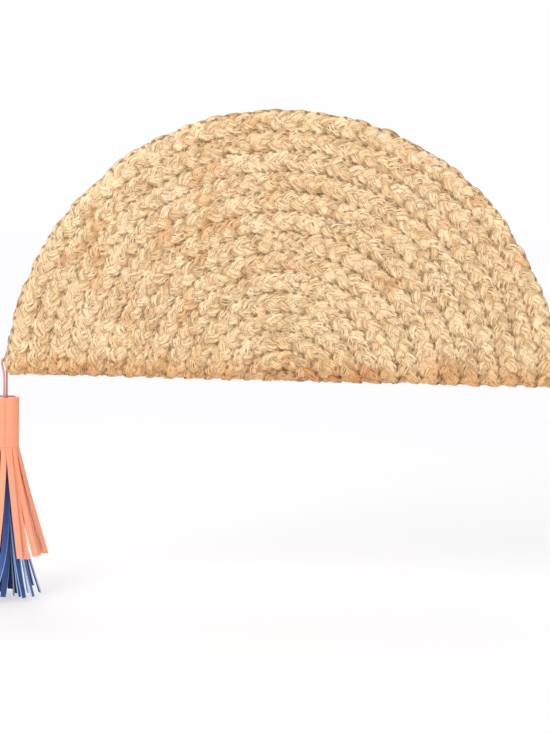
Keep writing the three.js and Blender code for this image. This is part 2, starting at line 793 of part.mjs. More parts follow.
// Lace and tassel
const eyeHeight = pin.z - pullLength * Math.cos(pullLean);
add('tassel_lace', laceGeometry(lacePoints(eyeHeight)), 'lace');
const tassel = new THREE.Group();
tassel.position.set(tasselX, 0, tasselTop);
group.add(tassel);
add('tassel_coral_fringe', coralFringe(), 'coral', tassel);
add('tassel_blue_fringe', blueFringe(), 'blue', tassel);

export default group;
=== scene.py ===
"""Half-moon clutch: a spiral plait of jute folded in half, its lining and zip, and a leather tassel.

Every size is in metres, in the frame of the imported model. A place on the mat is given by x along the
fold, s across the fold (below zero in front), and how far it lies out of the mat's middle surface.
"""

import json
import math
from functools import cache, partialmethod

import bmesh
import bpy
from mathutils import Matrix, Vector


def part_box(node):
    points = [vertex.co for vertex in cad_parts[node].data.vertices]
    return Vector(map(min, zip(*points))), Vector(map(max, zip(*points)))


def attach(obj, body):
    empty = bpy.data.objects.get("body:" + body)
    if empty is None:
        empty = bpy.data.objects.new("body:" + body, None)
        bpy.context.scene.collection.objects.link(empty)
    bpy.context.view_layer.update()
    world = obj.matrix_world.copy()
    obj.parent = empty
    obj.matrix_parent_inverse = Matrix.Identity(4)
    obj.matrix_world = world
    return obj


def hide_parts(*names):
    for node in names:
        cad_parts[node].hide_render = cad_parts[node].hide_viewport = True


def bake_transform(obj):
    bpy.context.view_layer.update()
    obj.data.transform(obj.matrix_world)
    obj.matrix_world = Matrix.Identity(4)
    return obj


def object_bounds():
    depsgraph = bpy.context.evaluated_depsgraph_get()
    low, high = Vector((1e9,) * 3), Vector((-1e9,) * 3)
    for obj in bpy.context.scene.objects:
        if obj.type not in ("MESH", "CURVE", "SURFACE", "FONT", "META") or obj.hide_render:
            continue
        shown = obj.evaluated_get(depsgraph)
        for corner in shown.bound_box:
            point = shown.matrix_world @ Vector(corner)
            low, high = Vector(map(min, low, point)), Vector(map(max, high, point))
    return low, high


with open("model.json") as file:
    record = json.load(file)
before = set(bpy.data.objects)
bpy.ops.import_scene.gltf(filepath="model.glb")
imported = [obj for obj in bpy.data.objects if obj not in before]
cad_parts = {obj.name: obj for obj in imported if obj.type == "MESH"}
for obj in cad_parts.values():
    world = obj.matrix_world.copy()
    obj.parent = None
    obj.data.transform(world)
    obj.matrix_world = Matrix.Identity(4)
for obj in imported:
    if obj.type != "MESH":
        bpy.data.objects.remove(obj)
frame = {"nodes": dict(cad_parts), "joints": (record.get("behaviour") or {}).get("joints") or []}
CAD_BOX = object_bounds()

bl_info = {
    "name": "Half-moon clutch",
    "version": (1, 0, 0),
    "blender": (4, 5, 0),
    "location": "View3D > Sidebar > Clutch",
    "description": "Builds a braided half-moon clutch, its zip and its leather tassel",
    "category": "Mesh",
}

MM = 0.001
TURN = 2 * math.pi
JOINTS = {joint["name"]: joint["pos_m"] for joint in frame["joints"]}

# The mat's two halves: the front one starts half a turn round
SIDES = {"front": 1.0, "back": 0.0}

# The folded mat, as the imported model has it
MAT_RADIUS = 190 * MM
ROWS = 14
ROW_PITCH = MAT_RADIUS / ROWS
MAT_THICKNESS = 8.5 * MM
FOLD_RADIUS = 13 * MM
FOLD_SWELL = 4 * MM
BELLY_SWELL = 9 * MM
BASE_PRESS = 0.5 * MM
RIM_HALF_DEPTH = 10.45 * MM
QUARTER_TURN = FOLD_RADIUS * math.pi / 2

# Lining
LINING_RADIUS = 177.7 * MM
LINING_THICKNESS = 0.8 * MM
LINING_GAP = 0.3 * MM

# Zip tape at the corners, where it bends between the fold and a side
ARC_CENTRE = JOINTS["slider_travel"][2]
TAPE_THICKNESS = 0.6 * MM
TAPE_FOOT_RADIUS, TAPE_TOP_RADIUS = 178 * MM, 188.6 * MM
TAPE_FOOT_DEPTH, TAPE_TOP_DEPTH, TAPE_LIP_DEPTH = 6.6 * MM, 6 * MM, 2.7 * MM
SLEEVE_GROWTH = 0.1 * MM
SLEEVE_ANGLES = (math.radians(11.35), math.radians(13.2))

# Tassel
CORAL_LOW, CORAL_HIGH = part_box("tassel_coral_fringe")
BLUE_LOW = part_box("tassel_blue_fringe")[0]
TASSEL_X = JOINTS["tassel_sway"][0]
EYE_HEIGHT = JOINTS["lace_swing"][2]
TASSEL_TOP = CORAL_HIGH.z
BAND_RADIUS = 10 * MM
BAND_LENGTH = 35 * MM
LEATHER = 1.1 * MM
LEATHER_BEVEL = 0.22 * MM
ROLL_PITCH = 1.13 * MM
CORAL_TURNS = 1.95
BLUE_ROLL_RADIUS = BAND_RADIUS - 2.2 * ROLL_PITCH
BLUE_TURNS = 5.0

# Lace: the outer and inner strand, as distance beyond the straight run and height below the loop's top
LACE_DIAMETER = 1.5 * MM
STRAND_GAP = 0.3 * MM
LACE_SUNK = 0.6 * MM
EYE_RADIUS = 1.7 * MM
SEAT = 0.3 * MM
STRAIGHT_RUN = 27
OUTER_LOOP = [
    (0, 27), (0, 24), (0, 21), (0, 18), (0.03, 15), (0.1, 12.6), (0.24, 10.4), (0.52, 8.4),
    (0.9, 6.7), (1.28, 5.2), (1.58, 3.9), (1.7, 2.7), (1.58, 1.6), (1.18, 0.7), (0.55, 0.15),
]
INNER_LOOP = [
    (-0.5, 0.12), (0.05, 0.5), (0.35, 1.15), (0.42, 2), (0.32, 3.1), (0.15, 4.6), (0.03, 6.6),
    (0, 9), (0, 12), (0, 15), (0, 18), (0, 21), (0, 24), (0, 27),
]

# Finishes
ZIP_BEVELS = {"tape": 0.12 * MM, "teeth": 0.16 * MM, "metal": 0.14 * MM}
# Height over which painted shade darkens the plait towards the fold
FOLD_SHADE_HEIGHT = 25 * MM
FIBRE_REACH = 180 * MM
FIBRE_FOOT = 11 * MM

# Stage
FLOOR_REACH = 6.0
FLOOR_FADE_START = 0.35
FLOOR_FADE_LENGTH = 0.7
LIGHTS_AIM = Vector((0, 0, 0.08))

# Camera: where the photograph was taken from
CAMERA_PLACE = (0.0405, -1.304, 0.1576)
CAMERA_YAW = math.radians(2)
CAMERA_PITCH = math.radians(-6.44)
CAMERA_ROLL = math.radians(1.16)
CAMERA_LENS, CAMERA_SENSOR = 92.5, 36


# Sums inside a node tree


class Value:
    """A number or vector inside a node tree, which can be used in sums."""

    def __init__(self, tree, socket):
        self.tree = tree
        self.socket = socket

    def before(self, operation, other):
        return self.tree.sum(operation, self, other)

    def after(self, operation, other):
        return self.tree.sum(operation, other, self)

    __add__, __radd__ = partialmethod(before, "ADD"), partialmethod(after, "ADD")
    __sub__, __rsub__ = partialmethod(before, "SUBTRACT"), partialmethod(after, "SUBTRACT")
    __mul__, __rmul__ = partialmethod(before, "MULTIPLY"), partialmethod(after, "MULTIPLY")
    __truediv__, __rtruediv__ = partialmethod(before, "DIVIDE"), partialmethod(after, "DIVIDE")
    __pow__, __neg__ = partialmethod(before, "POWER"), partialmethod(before, "MULTIPLY", -1.0)


class Tree:
    """A node tree that is being built, for geometry or for a shader."""

    def __init__(self, name, kind="GeometryNodeTree", tree=None):
        self.tree = tree or bpy.data.node_groups.new(name, kind)
        if not tree:
            self.entry = self.tree.nodes.new("NodeGroupInput")
            self.leave = self.tree.nodes.new("NodeGroupOutput")

    def input(self, name, kind="NodeSocketFloat", default=None):
        """A named input of the tree, with its starting value."""
        socket = self.tree.interface.new_socket(name, in_out="INPUT", socket_type=kind)
        if default is not None:
            socket.default_value = default
        return Value(self, self.entry.outputs[name])

    def inputs(self, *names):
        """Several inputs for numbers."""
        return [self.input(name) for name in names]

    def output(self, name, value, kind="NodeSocketFloat"):
        """A named output of the tree."""
        self.tree.interface.new_socket(name, in_out="OUTPUT", socket_type=kind)
        self.connect(value, self.leave.inputs[name])

    def connect(self, value, socket):
        """Links a value of the tree to the socket, or sets the socket to a plain value."""
        if isinstance(value, Value):
            self.tree.links.new(value.socket, socket)
        else:
            socket.default_value = int(value) if socket.type == "INT" else value

    def node(self, kind, result=0, settings=None, **inputs):
        """Adds a node and returns its first output or the one called result. Inputs have _ for a space."""
        made = self.tree.nodes.new(kind)
        for name, value in (settings or {}).items():
            setattr(made, name, value)
        usable = {socket.name: socket for socket in reversed(list(made.inputs)) if socket.enabled}
        for name, value in inputs.items():
            self.connect(value, usable[name.replace("_", " ")])
        return Value(self, next(
            socket for socket in made.outputs if socket.enabled and result in (0, socket.name)
        ))

    def chained(self, kind, parts, **settings):
        """Adds a node whose inputs take the parts in order, and returns its first output."""
        made = self.tree.nodes.new(kind)
        for name, value in settings.items():
            setattr(made, name, value)
        for socket, part in zip(made.inputs, parts):
            self.connect(part, socket)
        return Value(self, made.outputs[0])

    def sum(self, operation, *parts):
        return self.chained("ShaderNodeMath", parts, operation=operation)

    def vectors(self, operation, *parts):
        return self.chained("ShaderNodeVectorMath", parts, operation=operation)

    def vector(self, *parts):
        return self.chained("ShaderNodeCombineXYZ", parts)

    def parts(self, vector):
        made = self.tree.nodes.new("ShaderNodeSeparateXYZ")
        self.connect(vector, made.inputs[0])
        return [Value(self, socket) for socket in made.outputs]

    sin, cos = partialmethod(sum, "SINE"), partialmethod(sum, "COSINE")
    root, arctangent = partialmethod(sum, "SQRT"), partialmethod(sum, "ARCTANGENT")
    sign, absolute = partialmethod(sum, "SIGN"), partialmethod(sum, "ABSOLUTE")
    lower, higher = partialmethod(sum, "MINIMUM"), partialmethod(sum, "MAXIMUM")
    floor, above = partialmethod(sum, "FLOOR"), partialmethod(sum, "GREATER_THAN")

    def within(self, x, low=0.0, high=1.0):
        return self.lower(self.higher(x, low), high)

    def smooth(self, x):
        """Rises from 0 to 1 as x does, with a soft start and end."""
        share = self.within(x)
        return share * share * (3.0 - 2.0 * share)

    def either(self, choice, no, yes):
        """no where choice is 0, and yes where it is 1."""
        return no + (yes - no) * choice

    def cloud(self, place, scale, detail=2.0, roughness=0.5):
        """Smooth noise from 0 to 1. On a place in metres it has about scale waves to the metre."""
        return self.node("ShaderNodeTexNoise", Vector=place, Scale=scale, Detail=detail, Roughness=roughness)

    def noise(self, place, scale=1.0, detail=0.0):
        """Smooth noise about 0, from about -1 to 1."""
        return self.cloud(place, scale, detail) * 4.0 - 2.0

    def chance(self, *parts):
        """A number from 0 to 1 that differs from one set of three numbers to the next."""
        return self.node("ShaderNodeTexWhiteNoise", "Value", Vector=self.vector(*parts))

    def group(self, group, **inputs):
        """Adds a copy of a group and returns its outputs by name."""
        kind = "GeometryNodeGroup" if self.tree.type == "GEOMETRY" else "ShaderNodeGroup"
        made = self.tree.nodes.new(kind)
        made.node_tree = group
        for name, value in inputs.items():
            self.connect(value, made.inputs[name.replace("_", " ")])
        return {socket.name: Value(self, socket) for socket in made.outputs}

    def stored(self, geometry, kind="FLOAT", **values):
        """The geometry with each value kept on its points under its name."""
        for name, value in values.items():
            geometry = self.node(
                "GeometryNodeStoreNamedAttribute", 0, {"data_type": kind, "domain": "POINT"},
                Geometry=geometry, Name=name, Value=value,
            )
        return geometry

    def mixed(self, share, a, b, blend="MIX"):
        """Two colours in one, or one times the other where blend says so."""
        made = self.tree.nodes.new("ShaderNodeMix")
        made.data_type = "RGBA"
        made.blend_type = blend
        self.connect(share, made.inputs[0])
        for value, socket in ((a, made.inputs[6]), (b, made.inputs[7])):
            self.connect(value if isinstance(value, Value) else (*value[:3], 1.0), socket)
        return Value(self, made.outputs[2])

    def seen_directly(self):
        """1 where the camera sees something, also in a mirror or through glass, and 0 for its light."""
        camera, mirror, glass = (
            self.node("ShaderNodeLightPath", f"Is {kind} Ray")
            for kind in ("Camera", "Glossy", "Transmission")
        )
        return self.higher(self.higher(camera, mirror), glass)


# The folded mat as a group


def folded_mat_group():
    """Turns a place on the flat mat into its place on the folded bag."""
    t = Tree("Folded mat")
    x, s, offset = t.inputs("X", "S", "Offset")
    run = t.absolute(s)
    side = t.sign(s)
    share = (x * x + s * s) / MAT_RADIUS**2
    swell = FOLD_SWELL + run * (BELLY_SWELL / MAT_RADIUS)
    depth = RIM_HALF_DEPTH + (1.0 - share) * swell
    turn = t.lower(run, QUARTER_TURN) / FOLD_RADIUS
    rise, ahead = t.sin(turn), t.cos(turn)
    y = side * depth * rise
    base = MAT_THICKNESS / 2 - BASE_PRESS + FOLD_RADIUS
    z = base - FOLD_RADIUS * ahead + t.higher(run - QUARTER_TURN, 0.0)
    along_x = x * swell * (-2 / MAT_RADIUS**2)
    along_run = run * swell * (-2 / MAT_RADIUS**2) + (1.0 - share) * (BELLY_SWELL / MAT_RADIUS)
    lean = along_run * rise + depth * ahead / FOLD_RADIUS
    raw = t.vector(-(rise * rise * along_x), side * rise, -lean)
    normal = t.vectors("NORMALIZE", raw)
    middle = t.vector(x, y, z)
    placed = t.vectors("ADD", middle, t.vector(*[part * offset for part in t.parts(normal)]))
    px, py, pz = t.parts(placed)
    t.output("Position", t.vector(px, py, t.higher(pz, 0.0)), "NodeSocketVector")
    t.output("Normal", normal, "NodeSocketVector")
    return t.tree


def counted(t, index, size):
    """Which group of size an index is in, and its place there."""
    group = t.floor((index + 0.5) / size)
    return group, index - group * size


def grid_rings(t, rings, sides):
    """A sheet of points in rings, with each point's ring and its place in the ring."""
    sheet = t.node("GeometryNodeMeshGrid", Size_X=1.0, Size_Y=1.0, Vertices_X=rings, Vertices_Y=sides + 1.0)
    return sheet, *counted(t, t.node("GeometryNodeInputIndex"), sides + 1.0)


def closed_tubes(t, sheet, position, shading_angle=0.9):
    """Moves the sheet into closed tubes: rings of no size are drawn together, and spare edges go."""
    moved = t.node("GeometryNodeSetPosition", Geometry=sheet, Position=position)
    merged = t.node("GeometryNodeMergeByDistance", Geometry=moved, Distance=1e-6)
    faces = t.node("GeometryNodeInputMeshEdgeNeighbors")
    spare = t.sum("LESS_THAN", faces, 0.5)
    clean = t.node(
        "GeometryNodeDeleteGeometry", 0, {"domain": "EDGE", "mode": "ALL"},
        Geometry=merged, Selection=spare,
    )
    return soft_shaded(t, clean, shading_angle)


def soft_shaded(t, geometry, angle):
    """Smooth shading, apart from edges sharper than angle."""
    bend = t.node("GeometryNodeInputMeshEdgeAngle", "Unsigned Angle")
    return t.node(
        "GeometryNodeSetShadeSmooth", 0, {"domain": "EDGE"},
        Geometry=geometry, Shade_Smooth=t.sum("LESS_THAN", bend, angle),
    )


def finished(t, geometry, material):
    """Ends a tree with real geometry and its material."""
    real = t.node("GeometryNodeRealizeInstances", Geometry=geometry)
    painted = t.node("GeometryNodeSetMaterial", Geometry=real, Material=material)
    t.output("Geometry", painted, "NodeSocketGeometry")
    return t.tree


# Plait


def plait_tree(settings, folded_mat, material):
    """Rows of a three-strand plait that winds out from the middle of the mat."""
    t = Tree("Plait rows")
    first, tail_rings, front = t.inputs("First Row", "Tail Rings", "Front Half")
    last = t.input("End Row", default=float(ROWS))
    sides = float(settings.strand_sides)
    density = float(settings.rings_per_row)
    wave = TURN / settings.plait_length
    swing, dive = settings.side_swing, settings.dive
    step_angle = settings.step_angle

    per_strand = density * (last * last - first * first) + tail_rings
    sheet, ring, side = grid_rings(t, per_strand * 3.0, sides)
    strand, place = counted(t, ring, per_strand)
    row = t.floor(t.root((place + 0.25) / density + first * first))
    tail = t.above(row, ROWS - 0.5)
    row = t.lower(row, float(ROWS))
    place = place - density * (row * row - first * first)
    count = t.either(tail, density * (row * 2.0 + 1.0), tail_rings)
    share = t.within((place - 1.0) / (count - 3.0))
    from_fold = share * t.either(tail, math.pi, step_angle)
    angle = from_fold + front * math.pi
    stepped = t.higher(t.smooth(from_fold / step_angle), front)
    narrow = t.either(tail, 1.0, t.higher(1.0 - stepped, 0.1))
    row_radius = t.either(
        tail,
        ROW_PITCH * t.higher(row - 0.5 + stepped, 0.12),
        ROW_PITCH * (ROWS - 0.5 * (1.0 - stepped)),
    )

    # The noise is read along the strand, far from where the other two strands read it
    travelled = TURN * ROW_PITCH * (row * row * 0.5 + (row + 0.5) * angle / TURN)
    path = t.vector(travelled, strand * 0.31, row * 0.013)

    def wobble(place, per_metre, amount, detail=0.0):
        """How far the hand plaiting strays."""
        return t.noise(place, per_metre, detail) * (amount * settings.unevenness)

    phase = travelled * wave + strand * (TURN / 3) + wobble(path, 22.0, 0.35)
    beside = t.cos(phase)
    swung = t.sin(phase) + t.sin(phase * 3.0) * 0.1
    across = (swung * swing + wobble(path, 61.0, 0.7 * MM)) * narrow
    end_share = narrow * 0.5 + 0.5
    out = (t.sin(phase * 2.0) * dive + wobble(path, 47.0, 0.4 * MM)) * end_share
    slant = t.arctangent(beside * (swing * wave))
    tilt = t.arctangent(t.cos(phase * 2.0) * (2 * dive * wave))

    turn = side * (-TURN / sides)
    inside = t.above(place, 0.5) * t.above(count - 1.5, place)
    fibre = t.vector(travelled * 90.0, t.cos(turn) * 1.8 + strand * 7.0, t.sin(turn) * 1.8 + row * 3.0)
    ridge = t.noise(fibre, 1.0, 1.0) * settings.ridge_height
    wide = settings.strand_width / 2 * (1.0 + wobble(path, 75.0, 0.2)) + ridge
    thick = settings.strand_thickness / 2 * (1.0 + wobble(path, 88.0, 0.14)) + ridge
    section = t.sin(turn)
    flattened = section * (1.0 + settings.flatness * (1.0 - section * section))
    wide = wide * narrow * inside * t.cos(turn)
    thick = thick * end_share * inside * flattened
    outward = across + wide * t.cos(slant) - thick * t.sin(tilt) * t.sin(slant)
    onward = -(wide * t.sin(slant)) - thick * t.sin(tilt) * t.cos(slant)
    wander = t.vector(t.cos(angle) * row_radius, t.sin(angle) * row_radius, 0.0)
    reach = row_radius + outward + wobble(wander, 26.0, 0.7 * MM)
    x = reach * t.cos(angle) - onward * t.sin(angle)
    s = reach * t.sin(angle) + onward * t.cos(angle)
    crushed = wobble(t.vector(x, s, strand * 0.011), 260.0, 0.34 * MM, 1.0)
    shingled = outward * settings.overlap_slope * narrow
    lift = out + thick * t.cos(tilt) + (crushed + shingled) * inside
    point = t.group(folded_mat, X=x, S=s, Offset=lift)["Position"]

    lobe = t.floor(phase / math.pi + 0.25)
    lobe_tone = t.chance(lobe, strand + row * 3.0, front)
    long_tone = t.noise(path, 9.0, 2.0) * 0.3
    seam = row + t.above(outward, 0.0)
    stitch = seam * (settings.stitches_per_seam / math.pi) * angle
    stitch_place = t.vector(stitch, outward / (ROW_PITCH / 2), narrow)
    kept = t.stored(sheet, "FLOAT_VECTOR", fibre=fibre, stitch_place=stitch_place)
    kept = t.stored(
        kept, strand_tone=lobe_tone * 0.3 + long_tone + 0.38, groove=ridge / settings.ridge_height,
        crown=section, lift=lift / (MAT_THICKNESS / 2),
        warmth=t.chance(lobe, strand + row * 3.0, front + 5.0),
    )
    return finished(t, closed_tubes(t, kept, point), material)


def half_sheet_tree(folded_mat, material):
    """Half of a round sheet that lies along the mat, closed along its edges."""
    t = Tree("Half of a round sheet")
    radius, outside, inside = t.inputs("Radius", "Outer Offset", "Inner Offset")
    front, creases = t.inputs("Front Half", "Creases")
    stations, steps = 97.0, 44.0
    sheet, ring, point = grid_rings(t, stations, steps * 2.0)
    back_again = t.above(point, steps - 0.5)
    step = t.either(back_again, point, 2.0 * steps - 1.0 - point)
    step = t.within(step, 0.0, steps - 1.0)
    share = t.within((ring - 1.0) / (stations - 3.0))
    angle = (share + front) * math.pi
    closed = t.above(0.5, ring) + t.above(ring, stations - 1.5)
    middle = (outside + inside) * 0.5
    offset = t.either(t.within(closed), t.either(back_again, outside, inside), middle)
    reach = radius * (step / (steps - 1.0))
    x, s = reach * t.cos(angle), reach * t.sin(angle)
    crease = t.noise(t.vector(x * 0.6, s, 0.0), 38.0, 2.0) * creases
    fade = t.within(reach * (radius - reach) / (radius * radius) * 8.0)
    placed = t.group(folded_mat, X=x, S=s, Offset=offset + crease * fade)["Position"]
    return finished(t, closed_tubes(t, sheet, placed), material)


# Stitches and loose fibres


def tube_rings(t, rings, sides):
    """A sheet for a thin tube: the share of its length, and how far aside and up the section lies."""
    sheet, ring, side = grid_rings(t, rings, sides)
    turn = side * (-TURN / sides)
    return sheet, ring / (rings - 1.0), t.cos(turn), t.sin(turn)


def needle(t, length, radius):
    """A thin spindle along X about the origin, pointed and closed at both ends."""
    sheet, share, aside, up = tube_rings(t, 7.0, 6.0)
    fat = t.root(t.within(share * (1.0 - share) * 4.0)) * radius
    return closed_tubes(t, sheet, t.vector((share - 0.5) * length, aside * fat, up * fat), 1.6)


def bent_fibre(t, radius):
    """One fibre along X, a metre long before it is scaled, that arches a little and bends aside."""
    sheet, share, aside, up = tube_rings(t, 6.0, 3.0)
    fat = t.within(share * (1.0 - share) * 8.0) * radius
    arch = (share - 0.5) * (share - 0.5) * -2.2 * MM
    bend = t.sin(share * 5.0) * 0.55 * MM
    return closed_tubes(t, sheet, t.vector(share - 0.5, aside * fat + bend, up * fat + arch), 3.0)


def laid_out(t, points, shape, normal, along, scale):
    """A copy of the shape on each point, with its back along normal and its length along the other."""
    turned = t.node(
        "FunctionNodeAxesToRotation", 0, {"primary_axis": "Z", "secondary_axis": "X"},
        Primary_Axis=normal, Secondary_Axis=along,
    )
    return t.node("GeometryNodeInstanceOnPoints", Points=points, Instance=shape, Rotation=turned, Scale=scale)


def seam_stitch_tree(settings, folded_mat, material):
    """Stitches of thread across the seams between the rows, set zigzag."""
    t = Tree("Seam stitches")
    front = t.input("Front Half")
    per_seam = float(settings.stitches_per_seam)
    seams = ROWS - 1
    points = t.node("GeometryNodePoints", Count=int(per_seam * seams * (seams + 1) / 2))
    index = t.node("GeometryNodeInputIndex")
    seam = t.floor((t.root(1.0 + (index + 0.5) * (8.0 / per_seam)) + 1.0) / 2.0)
    place = index - seam * (seam - 1.0) * (per_seam / 2.0)
    from_fold = (place + 0.5) / (seam * per_seam) * math.pi
    stepped = t.higher(t.smooth(from_fold / settings.step_angle), front)
    angle = from_fold + front * math.pi
    radius = ROW_PITCH * t.higher(seam - 1.0 + stepped, 0.3)
    jitter = t.chance(index, front, 3.0) - 0.5
    x, s = radius * t.cos(angle), radius * t.sin(angle)
    sunk = settings.stitch_offset + jitter * 0.5 * MM
    placed = t.group(folded_mat, X=x, S=s, Offset=sunk)
    odd = index - t.floor(index / 2.0) * 2.0
    slanted = angle + ((odd * 2.0 - 1.0) * settings.stitch_slant + jitter * 0.7)
    beyond = t.group(folded_mat, X=x + t.cos(slanted) * MM, S=s + t.sin(slanted) * MM, Offset=sunk)
    along = t.vectors("SUBTRACT", beyond["Position"], placed["Position"])
    spots = t.node("GeometryNodeSetPosition", Geometry=points, Position=placed["Position"])
    thread = needle(t, settings.stitch_length, settings.thread_radius)
    size = t.vector(0.75 + t.chance(index, front, 9.0) * 0.5, 1.0, 1.0)
    return finished(t, laid_out(t, spots, thread, placed["Normal"], along, size), material)


def loose_fibre_tree(settings, material):
    """Fine loose fibres that lie on the plait, most of them along its rows."""
    t = Tree("Loose fibres")
    plait = t.input("Geometry", "NodeSocketGeometry")
    density = t.input("Density", default=settings.fibre_density)
    lift = t.node("GeometryNodeInputNamedAttribute", 0, {"data_type": "FLOAT"}, Name="lift")
    facing, position = t.node("GeometryNodeInputNormal"), t.node("GeometryNodeInputPosition")
    x, _, z = t.parts(position)
    level = t.above(t.absolute(t.parts(facing)[1]), 0.6)
    kept_free = t.above(FIBRE_REACH, t.root(x * x + z * z)) * t.above(z, FIBRE_FOOT)
    points = t.node(
        "GeometryNodeDistributePointsOnFaces", 0, {"distribute_method": "RANDOM"}, Mesh=plait,
        Selection=t.above(lift, 0.5) * kept_free * level, Density=density, Seed=settings.fibre_seed,
    )
    normal = t.node(
        "GeometryNodeSampleNearestSurface", 0, {"data_type": "FLOAT_VECTOR"},
        Mesh=plait, Value=facing, Sample_Position=position,
    )
    index = t.node("GeometryNodeInputIndex")
    stray = t.chance(index, 1.0, 0.0) * 2.0 - 1.0
    turn = t.sum("ARCTAN2", x, -z) + stray * t.absolute(stray) * settings.fibre_scatter
    raised = t.vectors("MULTIPLY", normal, t.vector(*[settings.fibre_radius * 0.8] * 3))
    spots = t.node("GeometryNodeSetPosition", Geometry=points, Offset=raised)
    spots = t.stored(spots, fibre_tone=t.chance(index, 5.0, 0.0))
    long = settings.fibre_length * (0.45 + t.chance(index, 2.0, 0.0) ** 2.0 * 1.1)
    fat = 0.6 + t.chance(index, 3.0, 0.0) * 0.9
    along, size = t.vector(t.cos(turn), 0.0, t.sin(turn)), t.vector(long, fat, fat)
    fibre = bent_fibre(t, settings.fibre_radius)
    return finished(t, laid_out(t, spots, fibre, normal, along, size), material)


# Tassel


def leather_roll_tree(material):
    """A strip of leather wound into a roll, closed at its edges."""
    t = Tree("Leather roll")
    outer, turns, top, bottom, start = t.inputs("Outer Radius", "Turns", "Top", "Bottom", "Start Angle")
    per_turn, sides = 56.0, 8.0
    rings = t.floor(turns * per_turn) + 3.0
    sheet, ring, side = grid_rings(t, rings, sides)
    last = rings - 1.0
    inside = t.above(ring, 0.5) * t.above(last - 0.5, ring)
    wound = t.within((ring - 1.0) / (last - 2.0)) * turns
    corner = (side + 0.5) * (math.pi / 4)
    flat_side = t.above(t.absolute(t.cos(corner)), t.absolute(t.sin(corner)))
    half_high = (top - bottom) * 0.5
    bevel = LEATHER_BEVEL
    across = t.sign(t.cos(corner)) * (LEATHER / 2 - bevel * (1.0 - flat_side))
    up = t.sign(t.sin(corner)) * (half_high - bevel * flat_side)
    radius = outer - LEATHER / 2 - wound * ROLL_PITCH + across * inside
    angle = start + wound * TURN
    height = (top + bottom) * 0.5 + up * inside
    placed = t.vector(TASSEL_X + radius * t.cos(angle), radius * t.sin(angle), height)
    kept = t.stored(
        sheet, cut_edge=t.above(t.absolute(up), half_high - bevel * 0.5),
        strip_tone=t.noise(t.vector(angle, height * 40.0, 0.0), 0.7) * 0.3,
    )
    return finished(t, closed_tubes(t, kept, placed), material)


def fringe_tree(material):
    """Strips cut into the lower edge of a roll of leather, fanned out as they hang."""
    t = Tree("Fringe strips")
    outer, turns, start, parting = t.inputs("Outer Radius", "Turns", "Start Angle", "Parting")
    top, tip, width, slit = t.inputs("Top", "Tip", "Strip Width", "Slit")
    flare, bend, push, sweep = t.inputs("Flare", "Bend", "Push", "Sweep")
    drift, twist, turn, front = t.inputs("Drift", "Twist", "Turn", "Front")
    stray, ragged, evenly, seed = t.inputs("Stray", "Ragged", "Evenly", "Seed")

    first = outer - LEATHER / 2
    sheet_length = turns * TURN * (first - ROLL_PITCH * turns / 2)
    strips = t.floor(sheet_length / width)
    per_strip, sides = 20.0, 14.0
    sheet, ring, side = grid_rings(t, strips * per_strip, sides)
    strip, place = counted(t, ring, per_strip)
    travelled = (strip + 0.5) * width
    wound = (first - t.root(first * first - travelled * (ROLL_PITCH / math.pi))) / ROLL_PITCH
    start_radius = first - wound * ROLL_PITCH
    angle = start + wound * TURN

    share = t.within((place - 1.0) / (per_strip - 4.0))
    inside = t.above(place, 0.5) * t.above(per_strip - 1.5, place)
    near_tip = t.above(place, per_strip - 2.5)
    draw = [t.chance(strip, seed, float(k)) * 2.0 - 1.0 for k in range(5)]
    length = top - tip - t.absolute(draw[0]) * ragged
    swept = share ** (bend + draw[1] * 0.25)
    fanned = flare * (1.0 + draw[2] * stray)
    radius = start_radius + (start_radius + (first - start_radius) * evenly) * fanned * swept
    lean = start_radius * fanned / length
    height = top - length * (share - lean * lean * 0.5 * share * share)
    from_parting = angle - parting
    from_parting = from_parting - t.floor(from_parting / TURN + 0.5) * TURN
    away = t.sign(from_parting) * t.cos(from_parting / 2.0)
    angle = angle + (away * push + drift) * share ** sweep + draw[3] * stray * 0.55 * share * share
    shown = t.sin((angle - front) * 2.0) * 0.5 + t.sin(angle - front) * 0.2
    roll = (shown * turn - away * (0.6 + draw[4] * 0.45) * twist) * share

    side = side - t.above(side, sides - 0.5) * sides
    step = side - t.above(side, 6.5) * 7.0
    face = 1.0 - t.above(side, 6.5) * 2.0
    edge = t.above(step, 4.5)
    half_width, half = (width - slit) * 0.5, LEATHER / 2
    inset = 1.0 - LEATHER_BEVEL / half_width
    across = face * half_width * t.either(edge, (step - 2.0) * 0.5 * inset, 1.0)
    corner = (half - LEATHER_BEVEL) * (1.0 - t.above(step, 5.5) * 2.0)
    thick = face * t.either(edge, half, corner)
    arc = across / start_radius
    curled = 1.0 - t.smooth(share * 2.2)
    sideways = t.either(curled, across, (start_radius + thick) * t.sin(arc))
    outwards = t.either(curled, thick, (start_radius + thick) * t.cos(arc) - start_radius)
    ripple = t.noise(t.vector(share * 3.0, strip * 3.7, seed), 1.0, 1.0) * 0.5 * MM * share
    sideways, outwards = sideways * inside, outwards * inside + ripple
    turned_side = sideways * t.cos(roll) - outwards * t.sin(roll)
    turned_out = sideways * t.sin(roll) + outwards * t.cos(roll)
    reach = radius + turned_out
    x = TASSEL_X + reach * t.cos(angle) - turned_side * t.sin(angle)
    y = reach * t.sin(angle) + turned_side * t.cos(angle)
    z = height - near_tip * (0.04 * MM)
    kept = t.stored(
        sheet, cut_edge=t.within(edge + near_tip), strip_tone=draw[1] * 0.5, inner_face=(1.0 - face) * 0.5,
    )
    return finished(t, closed_tubes(t, kept, t.vector(x, y, z), 0.75), material)


def linked(name, data):
    """A new object in the scene."""
    made = bpy.data.objects.new(name, data)
    bpy.context.scene.collection.objects.link(made)
    return made


